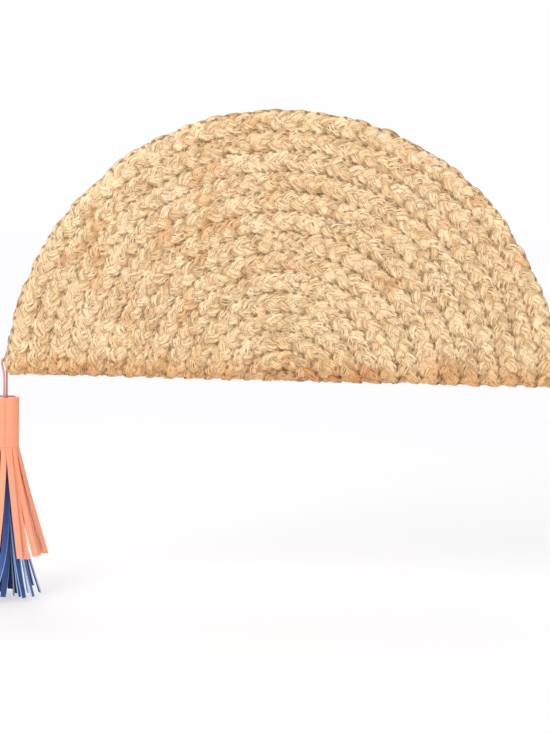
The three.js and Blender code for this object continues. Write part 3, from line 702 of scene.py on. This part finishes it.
def from_tree(name, tree, start=None, **inputs):
    """A plain mesh object with what the tree makes. Its inputs are set by their identifiers."""
    host = linked(name + "_host", start.data if start else bpy.data.meshes.new(name))
    modifier = host.modifiers.new("Build", "NODES")
    modifier.node_group = tree
    wanted = {key.replace("_", " "): value for key, value in inputs.items()}
    for item in tree.interface.items_tree:
        if item.in_out == "INPUT" and item.name in wanted:
            modifier[item.identifier] = wanted.pop(item.name)
    if wanted:
        raise RuntimeError(f"{name} has no inputs named {sorted(wanted)}")
    made = host.evaluated_get(bpy.context.evaluated_depsgraph_get())
    mesh = bpy.data.meshes.new_from_object(made)
    mesh.name = name
    bpy.data.objects.remove(host)
    if not mesh.polygons:
        raise RuntimeError(f"{name} came out empty")
    return linked(name, mesh)


def bend_with_side(piece):
    """Bakes the piece's placing into its mesh."""
    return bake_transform(piece)


# Shaders


class Finish(Tree):
    """A new material with a Principled shader, as a tree that is being built."""

    def __init__(self, name):
        self.material = bpy.data.materials.new(name)
        self.material.use_nodes = True
        super().__init__(name, tree=self.material.node_tree)
        self.surface = self.tree.nodes["Principled BSDF"]
        self.place = self.node("ShaderNodeTexCoord", "Object")

    def attribute(self, name, result="Fac"):
        return self.node("ShaderNodeAttribute", result, {"attribute_name": name})

    def stretched(self, vector, x, y, z):
        return self.node("ShaderNodeMapping", Vector=vector, Scale=(x, y, z))

    def lit(self, colour, light):
        """The colour, made lighter or darker."""
        return self.mixed(1.0, colour, self.vector(light, light, light), "MULTIPLY")

    def painted(self, colour, roughness, relief=None, **plain):
        """Sets the surface's colour, roughness, relief (height, strength, depth) and plain values."""
        wanted = {"Base_Color": colour, "Roughness": roughness, **plain}
        if relief:
            height, strength, depth = relief
            wanted["Normal"] = self.node("ShaderNodeBump", Strength=strength, Distance=depth, Height=height)
        for name, value in wanted.items():
            self.connect(value, self.surface.inputs[name.replace("_", " ")])
        return self.material


def streaks_group():
    """Fine streaks along a direction, as fibres or yarns show them."""
    t = Tree("Streaks", "ShaderNodeTree")
    place = t.input("Place", "NodeSocketVector")
    fine = t.input("Fineness", default=1.0)
    t.output("Streak", t.cloud(place, fine, 3.0, 0.65) * 0.6 + t.cloud(place, fine * 3.1, 2.0, 0.6) * 0.4)
    return t.tree


def grain_group():
    """Fine pebbled grain, as dressed leather has."""
    t = Tree("Leather grain", "ShaderNodeTree")
    place = t.input("Place", "NodeSocketVector")
    scale = t.input("Scale", default=900.0)
    cells = t.node("ShaderNodeTexVoronoi", "Distance", {"feature": "SMOOTH_F1"}, Vector=place, Scale=scale)
    cloud = t.cloud(place, scale * 0.2, 3.0)
    t.output("Height", cells * 0.6 + cloud * 0.5)
    t.output("Cloud", cloud)
    return t.tree


def weave_group():
    """Over-and-under threads of a plain cloth."""
    t = Tree("Plain weave", "ShaderNodeTree")
    place = t.input("Place", "NodeSocketVector")
    scale = t.input("Threads", default=2000.0)
    x, y, z = t.parts(place)
    one, two = (x + y * 0.5) * scale, (z + y * 0.5) * scale
    over = t.sin(one) * t.sin(two)
    t.output("Height", t.absolute(t.sin(one * 0.5)) * (over * 0.5 + 0.5) + t.absolute(t.sin(two * 0.5)))
    return t.tree


def jute_material(looks, streaks):
    """Pale and tan strands of fibres with warm patches, and painted shade: dark holes, grooves, strand flanks
    and a tanner fold.
    """
    t = Finish("jute plait")
    fibre = t.attribute("fibre", "Vector")
    streak, fleck, speck = (
        t.group(streaks, Place=t.stretched(fibre, *scale), Fineness=1.0)["Streak"]
        for scale in ((0.3, 1.9, 1.9), (1.5, 2.6, 2.6), (6.5, 3.3, 3.3))
    )
    patch, blot, blush = t.cloud(t.place, 26.0), t.cloud(t.place, 75.0), t.cloud(t.place, 85.0, 1.0)
    pale = t.smooth(t.attribute("strand_tone") + (streak - 0.5) * 1.1)
    warm = t.smooth(t.attribute("warmth") * 1.3 + patch * 4.0 + blot * 3.0 - 4.45)
    body = t.mixed(pale, looks.jute_tan, looks.jute_cream)
    body = t.mixed(warm * 0.75, body, looks.jute_orange)
    body = t.mixed(t.smooth(blush * 7.0 - 4.5) * 0.5, body, looks.jute_pink)
    light = t.within((streak + fleck + speck) * 2.6 - 2.88, 0.32, 1.22)
    body = t.mixed(1.0, body, t.vector(light, light * 0.985, light * 0.96), "MULTIPLY")

    # Painted shade: the grooves between fibre bundles, the strands' flanks and small random pits are drawn in
    # the shadow colour.
    groove = t.smooth(-t.attribute("groove") * 2.0 - 0.35)
    edge = 1.0 - t.smooth(t.attribute("crown") * 2.2 - 0.25)
    pit = t.higher(t.smooth((0.42 - fleck) * 10.0) * 0.6, t.smooth((0.44 - speck) * 11.0) * 0.8)
    body = t.mixed(t.higher(t.higher(pit, groove * 0.5), edge * 0.5), body, looks.jute_shadow)

    # Painted shade: stitch holes along the seams and small holes between the fibres are drawn dark; the holes
    # are also sunk in the relief below.
    along, beside, whole = t.parts(t.attribute("stitch_place", "Vector"))
    along = (along - t.floor(along) - 0.5) * 0.7
    beside = t.absolute(beside) - 1.0
    away = t.root(along * along + beside * beside * 0.6)
    stitch_hole = t.smooth(1.7 - away * 11.0 + (speck - 0.5) * 4.0) * t.above(whole, 0.5)
    cells = t.node("ShaderNodeTexVoronoi", "Distance", Vector=t.stretched(fibre, 2.8, 1.5, 1.5), Scale=1.0)
    dash = (0.25 - cells) * 8.0 + (speck - 0.5) * 3.0 + (blot - 0.5) * 5.0 + edge * 0.5
    hole = t.higher(stitch_hole, t.smooth(dash))
    body = t.mixed(hole * 0.75, body, looks.jute_hole_shade)

    shade = t.smooth(t.absolute(t.attribute("lift")) * 1.9 - 0.42)
    body = t.mixed(shade * 0.6 + 0.4, looks.jute_shadow, body)
    # Painted shade: the plait is drawn darker and tanner towards the fold at the bottom.
    rubbed = 1.0 - t.smooth(t.parts(t.place)[2] / FOLD_SHADE_HEIGHT)
    body = t.mixed(rubbed * 0.68, body, looks.jute_tan, "MULTIPLY")
    relief = streak * 0.5 + fleck * 0.3 + speck * 0.45 - hole * 0.6
    return t.painted(
        body, 0.84, (relief, 0.8, 0.8 * MM),
        Specular_IOR_Level=0.25, Sheen_Weight=0.15, Sheen_Roughness=0.5,
    )


def plain_fibre_material(name, colour, other, streaks):
    """Thread or fibre, uneven along its length, between two colours where the piece says so."""
    t = Finish(name)
    streak = t.group(streaks, Place=t.place, Fineness=420.0)["Streak"]
    body = t.lit(t.mixed(t.attribute("fibre_tone"), colour, other), streak * 0.9 + 0.5)
    return t.painted(body, streak * 0.2 + 0.75, (streak, 0.4, 0.2 * MM))


def cloth_material(name, colour, weave, threads, roughness):
    """Plain cloth with its threads as relief, and painted shade between them."""
    t = Finish(name)
    height = t.group(weave, Place=t.place, Threads=threads)["Height"]
    cloud = t.cloud(t.place, 90.0, 4.0)
    # Painted shade: the cloth is drawn darker between its threads; the cloud varies its tone at random.
    body = t.lit(colour, height * 0.22 + cloud * 0.5 + 0.58)
    return t.painted(body, cloud * 0.2 + roughness, (height, 0.5, 0.15 * MM), Sheen_Weight=0.2)


def leather_material(name, face, inner, cut_edge, grain, roughness, variety):
    """Leather strips: a grained face, an inner face darkened as painted shade, and paler cut edges where the
    piece marks them.
    """
    t = Finish(name)
    pores = t.group(grain, Place=t.place, Scale=1400.0)
    height, cloud = pores["Height"], pores["Cloud"]
    # Painted shade: the colour is a little darker in the grain's hollows; the cloud and the strip tone vary
    # it at random.
    light = cloud * 0.16 + height * 0.12 + t.attribute("strip_tone") * variety + 0.92 - variety / 2
    # Painted shade: the inner face takes the inner colour, drawn darker as shade.
    skin = t.lit(t.mixed(t.attribute("inner_face"), face, inner), light)
    body = t.mixed(t.attribute("cut_edge"), skin, cut_edge)
    return t.painted(body, cloud * 0.2 + roughness, (height, 0.25, 0.12 * MM), Specular_IOR_Level=0.4)


def metal_material(looks):
    """Dark metal of the slider, scratched and rubbed in places."""
    t = Finish("zip metal")
    wear = t.cloud(t.stretched(t.place, 400.0, 400.0, 2600.0), 1.0, 4.0)
    body = t.mixed(t.smooth(t.cloud(t.place, 350.0, 3.0) * 3.0 - 1.2), looks.metal_dark, looks.metal_worn)
    return t.painted(body, wear * 0.25 + 0.25, (wear, 0.15, 0.05 * MM), Metallic=0.85)


def teeth_material(looks):
    """Dark plastic of the teeth."""
    t = Finish("zip teeth")
    cloud = t.cloud(t.place, 500.0, 3.0)
    return t.painted(t.lit(looks.teeth, cloud * 0.5 + 0.75), cloud * 0.2 + 0.35, (cloud, 0.2, 0.08 * MM))


def lace_material(looks, grain):
    """Round leather lace: pink on the outer strand, and red-brown on the inner one as painted shade."""
    t = Finish("pink lace")
    pores = t.group(grain, Place=t.place, Scale=2200.0)
    # Painted shade: the lace turns red-brown towards its right-hand side, where the inner strand hangs, and
    # is darker in the grain's hollows.
    inner = t.smooth((t.parts(t.place)[0] - TASSEL_X) / (0.8 * MM) + 0.5)
    body = t.lit(t.mixed(inner, looks.lace_pink, looks.lace_shade), pores["Height"] * 0.3 + 0.8)
    return t.painted(body, pores["Cloud"] * 0.2 + 0.45, (pores["Height"], 0.3, 0.1 * MM))


def floor_material(looks):
    """A pale floor that keeps the shadow near the object and fades to white behind it."""
    t = Finish("studio floor")
    t.painted(t.lit(looks.floor, t.cloud(t.place, 6.0) * 0.02 + 0.99), 0.9)
    x, y, _ = t.parts(t.place)
    away = t.smooth((t.root(x * x + y * y) - FLOOR_FADE_START) / FLOOR_FADE_LENGTH) * 0.45 + 0.55
    glow = t.node("ShaderNodeEmission", Color=(0.98, 0.98, 1.0, 1.0), Strength=1.0)
    lit = Value(t, t.surface.outputs[0])
    fading = t.chained("ShaderNodeMixShader", (t.seen_directly() * away, lit, glow))
    below, clear = t.node("ShaderNodeNewGeometry", "Backfacing"), t.node("ShaderNodeBsdfTransparent")
    one_sided = t.chained("ShaderNodeMixShader", (below, fading, clear))
    t.connect(one_sided, t.tree.nodes["Material Output"].inputs["Surface"])
    return t.material


# Add-on: sizes and colours that a user would change


def colour_property(name, description, default):
    return bpy.props.FloatVectorProperty(
        name=name, description=description, subtype="COLOR", size=3, min=0, max=1, default=default,
    )


def length_property(name, description, default):
    return bpy.props.FloatProperty(
        name=name, description=description, subtype="DISTANCE", unit="LENGTH", precision=4, default=default,
    )


def angle_property(name, description, degrees):
    return bpy.props.FloatProperty(
        name=name, description=description, subtype="ANGLE", default=math.radians(degrees),
    )


def number_property(name, description, default, **limits):
    return bpy.props.FloatProperty(name=name, description=description, default=default, **limits)


def count_property(name, description, default):
    return bpy.props.IntProperty(name=name, description=description, default=default)


class ClutchBraid(bpy.types.PropertyGroup):
    """Sizes of the plait."""

    plait_length: length_property("Plait length", "Length in which a strand is back on its side", 29.5 * MM)
    strand_width: length_property("Strand width", "Width of a strand across its fibres", 8.9 * MM)
    strand_thickness: length_property("Strand thickness", "Thickness of a strand", 4.7 * MM)
    side_swing: length_property("Side swing", "How far a strand swings to each side of its row", 4.5 * MM)
    overlap_slope: number_property(
        "Overlap slope", "Slope by which each row lies over the next one inwards", 0.11, min=0, max=0.3,
    )
    dive: length_property("Dive", "How far a strand dives under the others", 1.25 * MM)
    ridge_height: length_property("Ridge height", "Height of the bundles of fibres", 0.4 * MM)
    step_angle: angle_property("Step angle", "Turn in which a row steps out to the next", 25)
    unevenness: number_property("Unevenness", "How irregular the hand plaiting is", 1.0, min=0, max=2)
    rings_per_row: count_property("Rings per row", "How finely a strand is divided along its length", 15)
    strand_sides: count_property("Strand sides", "How finely a strand is divided round its section", 20)
    flatness: number_property("Flatness", "How far a strand is pressed flat", 0.4, min=0, max=0.45)
    stitches_per_seam: count_property(
        "Stitches", "Stitches on the first seam of each half; seam n has n times as many", 9,
    )
    stitch_length: length_property("Stitch length", "Length of one stitch across a seam", 4.4 * MM)
    thread_radius: length_property("Thread radius", "Half the thread's thickness", 0.33 * MM)
    stitch_offset: length_property("Stitch height", "How far the stitches lie out of the mat", 2.35 * MM)
    stitch_slant: angle_property("Stitch slant", "Slant of the zigzag stitches", 28)
    core_offset: length_property("Inner fibres", "Half the thickness that the inner fibres fill", 0.6 * MM)
    fibre_density: number_property("Loose fibres", "Loose fibres for each square metre of strand", 70000.0)
    fibre_length: length_property("Fibre length", "Length of a loose fibre", 8 * MM)
    fibre_radius: length_property("Fibre radius", "Half a loose fibre's thickness", 0.13 * MM)
    fibre_scatter: angle_property("Fibre scatter", "How far a loose fibre may turn off its row", 110)
    fibre_seed: count_property("Fibre seed", "Draw of the loose fibres", 7)


class ClutchTassel(bpy.types.PropertyGroup):
    """Sizes of the tassel's strips."""

    coral_width: length_property("Coral strip width", "Width of a coral strip", 4.4 * MM)
    blue_width: length_property("Blue strip width", "Width of a blue strip", 4.3 * MM)
    slit: length_property("Slit", "Gap cut between two strips", 0.12 * MM)
    coral_flare: number_property("Coral flare", "Growth of the coral strips' circle, as a share", 2.15)
    blue_flare: number_property("Blue flare", "Growth of the blue strips' circle, as a share", 2.6)
    parting: angle_property("Parting's place", "Where round the tassel the strips part", -70)
    seed: count_property("Seed", "Draw of the strips' curls", 4)


class ClutchLooks(bpy.types.PropertyGroup):
    """Colours of the finishes."""

    jute_cream: colour_property("Cream jute", "Palest strands", (0.95, 0.73, 0.485))
    jute_tan: colour_property("Tan jute", "Darker strands", (0.8, 0.55, 0.3))
    jute_orange: colour_property("Warm jute", "Warm patches", (0.74, 0.41, 0.2))
    jute_pink: colour_property("Pink jute", "Small rosy patches", (0.8, 0.42, 0.28))
    jute_shadow: colour_property("Jute shadow", "Deep between the strands", (0.43, 0.24, 0.09))
    # Painted shade: the small holes are coloured dark as shade.
    jute_hole_shade: colour_property("Jute hole", "Small holes between the fibres", (0.17, 0.095, 0.04))
    # Painted shade: the inner fibres are coloured as they look in shade between the strands.
    shaded_jute_core: colour_property("Inner jute", "Inner fibres, between the strands", (0.36, 0.21, 0.1))
    loose_brown: colour_property("Brown fibre", "Darkest loose fibres", (0.42, 0.25, 0.11))
    thread: colour_property("Sewing thread", "Thread between the rows", (0.72, 0.5, 0.27))
    lining: colour_property("Lining", "Cloth inside the bag", (0.62, 0.55, 0.47))
    tape: colour_property("Zip tape", "Woven tape of the zip", (0.15, 0.105, 0.15))
    teeth: colour_property("Zip teeth", "Teeth of the zip", (0.1, 0.07, 0.11))
    metal_dark: colour_property("Zip metal", "Slider and pull", (0.28, 0.25, 0.29))
    metal_worn: colour_property("Worn zip metal", "Where the slider is rubbed", (0.5, 0.47, 0.52))
    lace_pink: colour_property("Pink lace", "Outer strand of the lace", (0.86, 0.38, 0.34))
    # Painted shade: the pink lace as it looks in shade, on its right-hand side.
    lace_shade: colour_property("Brown lace", "Inner strand of the lace", (0.58, 0.2, 0.15))
    coral: colour_property("Coral leather", "Face of the coral leather", (0.98, 0.376, 0.227))
    # Painted shade: the coral's inner face is coloured as coral in shade.
    coral_inner: colour_property("Coral inner face", "Inner face of the coral leather", (0.62, 0.12, 0.07))
    coral_edge: colour_property("Coral edge", "Cut edge of the coral leather", (0.9, 0.4, 0.26))
    blue: colour_property("Blue leather", "Face of the blue leather", (0.055, 0.14, 0.48))
    # Painted shade: the blue's inner face is coloured as blue in shade.
    blue_inner: colour_property("Blue inner face", "Inner face of the blue leather", (0.016, 0.042, 0.18))
    blue_edge: colour_property("Blue edge", "Cut edge of the blue leather", (0.42, 0.58, 0.92))
    floor: colour_property("Floor", "Studio floor", (0.92, 0.92, 0.92))


@cache
def finishes():
    """Materials and shared groups, made once."""
    looks = bpy.context.scene.clutch_looks
    streaks, grain, weave = streaks_group(), grain_group(), weave_group()
    coral, blue = (
        leather_material(
            f"{name} leather", getattr(looks, name), getattr(looks, f"{name}_inner"),
            getattr(looks, f"{name}_edge"), grain, roughness, variety,
        )
        for name, roughness, variety in (("coral", 0.42, 0.14), ("blue", 0.38, 0.8))
    )
    return {
        "mat": folded_mat_group(),
        "jute": jute_material(looks, streaks),
        "core": plain_fibre_material("jute core", looks.shaded_jute_core, looks.shaded_jute_core, streaks),
        "thread": plain_fibre_material("sewing thread", looks.thread, looks.thread, streaks),
        "loose": plain_fibre_material("loose fibre", looks.jute_cream, looks.loose_brown, streaks),
        "lining": cloth_material("lining cloth", looks.lining, weave, 4200.0, 0.75),
        "tape": cloth_material("zip tape", looks.tape, weave, 6800.0, 0.65),
        "teeth": teeth_material(looks),
        "metal": metal_material(looks),
        "lace": lace_material(looks, grain),
        "coral": coral,
        "blue": blue,
        "floor": floor_material(looks),
    }


class ClutchPiece:
    """What every building operator has in common."""

    bl_options = {"REGISTER", "UNDO"}


class CLUTCH_OT_plait(ClutchPiece, bpy.types.Operator):
    """Plait both halves of the mat"""

    bl_idname = "clutch.plait"
    bl_label = "Plait"

    def execute(self, context):
        settings = context.scene.clutch_braid
        tree = plait_tree(settings, finishes()["mat"], finishes()["jute"])
        split = 10.0  # The row where the inner piece ends
        tail = round(settings.rings_per_row * (2 * ROWS + 1) * settings.step_angle / math.pi)
        for side, front in SIDES.items():
            inner = from_tree(f"{side}_plait_inner_rows", tree, Front_Half=front, End_Row=split)
            outer = from_tree(
                f"{side}_plait_outer_rows", tree, Front_Half=front, First_Row=split,
                Tail_Rings=0.0 if front else float(tail),
            )
            for piece in (inner, outer):
                bend_with_side(piece)
            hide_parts(f"{side}_panel", "bottom_fold")
        return {"FINISHED"}


class CLUTCH_OT_core(ClutchPiece, bpy.types.Operator):
    """Fill the plait's middle with its inner fibres"""

    bl_idname = "clutch.core"
    bl_label = "Inner fibres"

    def execute(self, context):
        # The inner fibres are a sheet coloured dark with painted shade, seen where the strands part.
        tree = half_sheet_tree(finishes()["mat"], finishes()["core"])
        reach = context.scene.clutch_braid.core_offset
        for side, front in SIDES.items():
            core = from_tree(
                f"{side}_inner_fibres", tree, Front_Half=front, Radius=MAT_RADIUS - ROW_PITCH / 4,
                Outer_Offset=reach, Inner_Offset=-reach, Creases=0.5 * MM,
            )
            bend_with_side(core)
        return {"FINISHED"}


class CLUTCH_OT_stitches(ClutchPiece, bpy.types.Operator):
    """Stitch the rows of the plait together"""

    bl_idname = "clutch.stitches"
    bl_label = "Seam stitches"

    def execute(self, context):
        settings = context.scene.clutch_braid
        tree = seam_stitch_tree(settings, finishes()["mat"], finishes()["thread"])
        for side, front in SIDES.items():
            bend_with_side(from_tree(f"{side}_seam_stitches", tree, Front_Half=front))
        return {"FINISHED"}


class CLUTCH_OT_fibres(ClutchPiece, bpy.types.Operator):
    """Scatter loose fibres over the plait"""

    bl_idname = "clutch.fibres"
    bl_label = "Loose fibres"

    def execute(self, context):
        tree = loose_fibre_tree(context.scene.clutch_braid, finishes()["loose"])
        for side in ("front", "back"):
            for rows in ("inner", "outer"):
                plait = bpy.data.objects[f"{side}_plait_{rows}_rows"]
                bend_with_side(from_tree(f"{side}_{rows}_loose_fibres", tree, plait))
        return {"FINISHED"}


class CLUTCH_OT_lining(ClutchPiece, bpy.types.Operator):
    """Line both sides with cloth"""

    bl_idname = "clutch.lining"
    bl_label = "Lining"

    def execute(self, context):
        tree = half_sheet_tree(finishes()["mat"], finishes()["lining"])
        near = -(MAT_THICKNESS / 2 + LINING_GAP)
        for side, front in SIDES.items():
            lining = from_tree(
                f"{side}_lining_cloth", tree, Front_Half=front, Radius=LINING_RADIUS,
                Outer_Offset=near, Inner_Offset=near - LINING_THICKNESS, Creases=0.25 * MM,
            )
            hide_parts(f"lining_{side}", "lining_fold")
            bend_with_side(lining)
        return {"FINISHED"}


class CLUTCH_OT_zip(ClutchPiece, bpy.types.Operator):
    """Finish the zip's tapes, teeth, slider, pull and stop"""

    bl_idname = "clutch.zip"
    bl_label = "Zip"

    def execute(self, context):
        rounded = smooth_shading_tree()
        for name, node in frame["nodes"].items():
            if not name.startswith("zip_"):
                continue
            kind = "tape" if "tape" in name else "teeth" if "teeth" in name else "metal"
            finish_zip_node(node, finishes()[kind], ZIP_BEVELS[kind], rounded)
        for end, corner in (("left", -1), ("right", 1)):
            for side, facing in (("front", -1), ("back", 1)):
                sleeve = tape_sleeve(f"{side}_tape_bend_{end}", corner, facing)
                sleeve.data.materials.append(finishes()["tape"])
                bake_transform(sleeve)
        return {"FINISHED"}


def tape_sleeve(name, corner, facing):
    """A short stretch of tape, turned in along its top, that closes the zip's corner as a side opens."""
    outer, inner = SLEEVE_GROWTH, -TAPE_THICKNESS - SLEEVE_GROWTH
    profile = [
        (TAPE_FOOT_RADIUS - outer, TAPE_FOOT_DEPTH + outer),
        (TAPE_TOP_RADIUS + outer, TAPE_TOP_DEPTH + outer),
        (TAPE_TOP_RADIUS + outer, TAPE_LIP_DEPTH - outer),
        (TAPE_TOP_RADIUS + inner, TAPE_LIP_DEPTH - outer),
        (TAPE_TOP_RADIUS + inner, TAPE_TOP_DEPTH + inner),
        (TAPE_FOOT_RADIUS - outer, TAPE_FOOT_DEPTH + inner),
    ]
    first, last = SLEEVE_ANGLES
    sections, count = 13, len(profile)
    build = bmesh.new()
    for section in range(sections):
        angle = first + (last - first) * section / (sections - 1)
        for radius, depth in profile:
            height = ARC_CENTRE + radius * math.sin(angle)
            build.verts.new((corner * radius * math.cos(angle), facing * depth, height))
    build.verts.ensure_lookup_table()
    for low in range(0, (sections - 1) * count, count):
        for k in range(count):
            following = (k + 1) % count
            corners = (low + k, low + following, low + count + following, low + count + k)
            build.faces.new([build.verts[index] for index in corners])
    for low in (0, (sections - 1) * count):
        build.faces.new([build.verts[low + k] for k in range(count)])
    bmesh.ops.recalc_face_normals(build, faces=build.faces)
    mesh = bpy.data.meshes.new(name)
    build.to_mesh(mesh)
    build.free()
    return linked(name, mesh)


def smooth_shading_tree():
    """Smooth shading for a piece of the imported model, apart from its sharp edges."""
    t = Tree("Smooth shading")
    t.output("Geometry", soft_shaded(t, t.input("Geometry", "NodeSocketGeometry"), 0.7), "NodeSocketGeometry")
    return t.tree


def finish_zip_node(node, material, bevel, rounded):
    node.data.materials.clear()
    node.data.materials.append(material)
    weld = node.modifiers.new("Weld", "WELD")
    weld.merge_threshold = 0.005 * MM
    edges = node.modifiers.new("Rounded edges", "BEVEL")
    edges.width = bevel
    edges.segments = 2
    edges.limit_method = "ANGLE"
    edges.angle_limit = math.radians(32)
    node.modifiers.new("Smooth shading", "NODES").node_group = rounded


class CLUTCH_OT_tassel(ClutchPiece, bpy.types.Operator):
    """Roll the leather and cut its fringes"""

    bl_idname = "clutch.tassel"
    bl_label = "Tassel"

    def execute(self, context):
        settings = context.scene.clutch_tassel
        bottom = TASSEL_TOP - BAND_LENGTH
        shapes = {
            "coral": dict(
                Outer_Radius=BAND_RADIUS, Turns=CORAL_TURNS, Start_Angle=math.radians(282),
                Tip=CORAL_LOW.z - 2.5 * MM, Strip_Width=settings.coral_width, Flare=settings.coral_flare,
                Bend=1.15, Parting=settings.parting, Push=math.radians(7), Sweep=0.7,
                Drift=math.radians(-1.5), Twist=-0.15, Turn=1.0, Evenly=0.7, Stray=0.05, Ragged=1.2 * MM,
            ),
            "blue": dict(
                Outer_Radius=BLUE_ROLL_RADIUS, Turns=BLUE_TURNS, Start_Angle=2.2,
                Tip=BLUE_LOW.z, Strip_Width=settings.blue_width, Flare=settings.blue_flare,
                Bend=1.7, Parting=settings.parting + math.radians(18), Push=math.radians(20), Sweep=2.4,
                Drift=math.radians(-13), Twist=0.6, Turn=0.0, Evenly=0.0, Stray=0.16, Ragged=3 * MM,
            ),
        }
        for name, shape in shapes.items():
            roll = from_tree(
                f"{name}_leather_roll", leather_roll_tree(finishes()[name]),
                Top=TASSEL_TOP - (LEATHER if name == "blue" else 0.0), Bottom=bottom,
                **{part: shape[part] for part in ("Outer_Radius", "Turns", "Start_Angle")},
            )
            fringe = from_tree(
                f"{name}_fringe_strips", fringe_tree(finishes()[name]), Top=bottom,
                Slit=settings.slit, Front=math.radians(-80), Seed=float(settings.seed), **shape,
            )
            for piece in (roll, fringe):
                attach(piece, "tassel")
            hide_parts(f"tassel_{name}_fringe")
        return {"FINISHED"}


class CLUTCH_OT_lace(ClutchPiece, bpy.types.Operator):
    """Hang the lace from the pull down to the tassel"""

    bl_idname = "clutch.lace"
    bl_label = "Lace"

    def execute(self, context):
        top = EYE_HEIGHT - EYE_RADIUS + LACE_DIAMETER / 2 + 2 * SEAT
        drop = (top - (TASSEL_TOP - LEATHER - LACE_SUNK)) / STRAIGHT_RUN
        strand = (LACE_DIAMETER + STRAND_GAP) / 2

        def points(side, loop):
            return [Vector((TASSEL_X + side * (strand + x * MM), 0, top - below * drop)) for x, below in loop]

        summit = Vector((TASSEL_X - strand / 2, 0, top))
        route = [*points(-1, OUTER_LOOP), summit, *points(1, INNER_LOOP)]
        curve = bpy.data.curves.new("tassel_lace_cord", "CURVE")
        curve.dimensions = "3D"
        curve.bevel_depth = LACE_DIAMETER / 2
        curve.bevel_resolution = 3
        curve.resolution_u = 6
        curve.use_fill_caps = True
        spline = curve.splines.new("BEZIER")
        spline.bezier_points.add(len(route) - 1)
        for point, place in zip(spline.bezier_points, route):
            point.co = place
            point.handle_left_type = point.handle_right_type = "AUTO"
        curve.materials.append(finishes()["lace"])
        lace = linked("lace_cord", curve)
        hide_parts("tassel_lace")
        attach(lace, "lace")
        return {"FINISHED"}


class CLUTCH_OT_stage(ClutchPiece, bpy.types.Operator):
    """Set up the camera, the lights, the floor and the pale surroundings"""

    bl_idname = "clutch.stage"
    bl_label = "Stage"

    def execute(self, context):
        add_camera(context.scene)
        add_floor()
        add_lights()
        add_world(context.scene)
        context.scene.view_settings.view_transform = "Standard"
        return {"FINISHED"}


def add_camera(scene):
    lens = bpy.data.cameras.new("camera")
    lens.lens = CAMERA_LENS
    lens.sensor_width = CAMERA_SENSOR
    camera = linked("camera", lens)
    ahead = Vector((
        -math.sin(CAMERA_YAW) * math.cos(CAMERA_PITCH),
        math.cos(CAMERA_YAW) * math.cos(CAMERA_PITCH),
        math.sin(CAMERA_PITCH),
    ))
    right = Vector((math.cos(CAMERA_YAW), math.sin(CAMERA_YAW), 0))
    up = right.cross(ahead)
    turned = Matrix.Rotation(-CAMERA_ROLL, 3, ahead)
    right, up = turned @ right, turned @ up
    axes = Matrix((right, up, -ahead)).transposed()
    camera.matrix_world = Matrix.Translation(CAMERA_PLACE) @ axes.to_4x4()
    scene.camera = camera


def add_floor():
    reach = FLOOR_REACH
    height = min(CAD_BOX[0].z, CORAL_LOW.z, BLUE_LOW.z) - 1 * MM
    mesh = bpy.data.meshes.new("studio_floor")
    corners = [(x * reach, y * reach, height) for x, y in ((-1, -1), (1, -1), (1, 1), (-1, 1))]
    mesh.from_pydata(corners, [], [(0, 1, 2, 3)])
    mesh.materials.append(finishes()["floor"])
    linked("studio_floor", mesh)


def add_lights():
    for name, place, size, power in (
        ("key", (-0.9, -1.6, 1.3), 1.6, 28.0),
        ("fill", (1.5, -1.2, 0.7), 1.8, 7.0),
        ("top", (0.1, 0.3, 1.6), 1.4, 8.0),
        ("back", (-0.7, 1.8, 0.9), 1.6, 16.0),
    ):
        lamp = bpy.data.lights.new(name, "AREA")
        lamp.shape = "DISK"
        lamp.size = size
        lamp.energy = power
        light = linked(name, lamp)
        light.location = place
        light.rotation_euler = (LIGHTS_AIM - Vector(place)).to_track_quat("-Z", "Y").to_euler()


def add_world(scene):
    world = bpy.data.worlds.new("studio")
    scene.world = world
    world.use_nodes = True
    t = Tree("studio", tree=world.node_tree)
    background = world.node_tree.nodes["Background"]
    shown = t.seen_directly()
    t.connect(t.either(shown, 0.45, 1.0), background.inputs["Strength"])
    t.connect(t.mixed(shown, (1.0, 0.975, 0.94), (0.99, 0.99, 1.0)), background.inputs["Color"])


class CLUTCH_PT_panel(bpy.types.Panel):
    """Lists the clutch's pieces and their sizes"""

    bl_idname = "CLUTCH_PT_panel"
    bl_label = "Half-moon clutch"
    bl_space_type = "VIEW_3D"
    bl_region_type = "UI"
    bl_category = "Clutch"

    def draw(self, context):
        for operator in OPERATORS:
            self.layout.operator(operator.bl_idname)
        for settings in (getattr(context.scene, name) for name in SETTINGS):
            box = self.layout.box()
            for name in settings.__annotations__:
                box.prop(settings, name)


OPERATORS = (
    CLUTCH_OT_stage, CLUTCH_OT_lace, CLUTCH_OT_tassel, CLUTCH_OT_zip, CLUTCH_OT_plait,
    CLUTCH_OT_core, CLUTCH_OT_stitches, CLUTCH_OT_fibres, CLUTCH_OT_lining,
)
SETTINGS = {"clutch_braid": ClutchBraid, "clutch_tassel": ClutchTassel, "clutch_looks": ClutchLooks}


def register():
    for kind in (*SETTINGS.values(), *OPERATORS, CLUTCH_PT_panel):
        bpy.utils.register_class(kind)
    for name, kind in SETTINGS.items():
        setattr(bpy.types.Scene, name, bpy.props.PointerProperty(type=kind))


def unregister():
    for name in SETTINGS:
        delattr(bpy.types.Scene, name)
    for kind in (CLUTCH_PT_panel, *reversed(OPERATORS), *reversed(SETTINGS.values())):
        bpy.utils.unregister_class(kind)


def main():
    register()
    for operator in OPERATORS:
        family, name = operator.bl_idname.split(".")
        getattr(getattr(bpy.ops, family), name)()


if __name__ == "__main__":
    main()
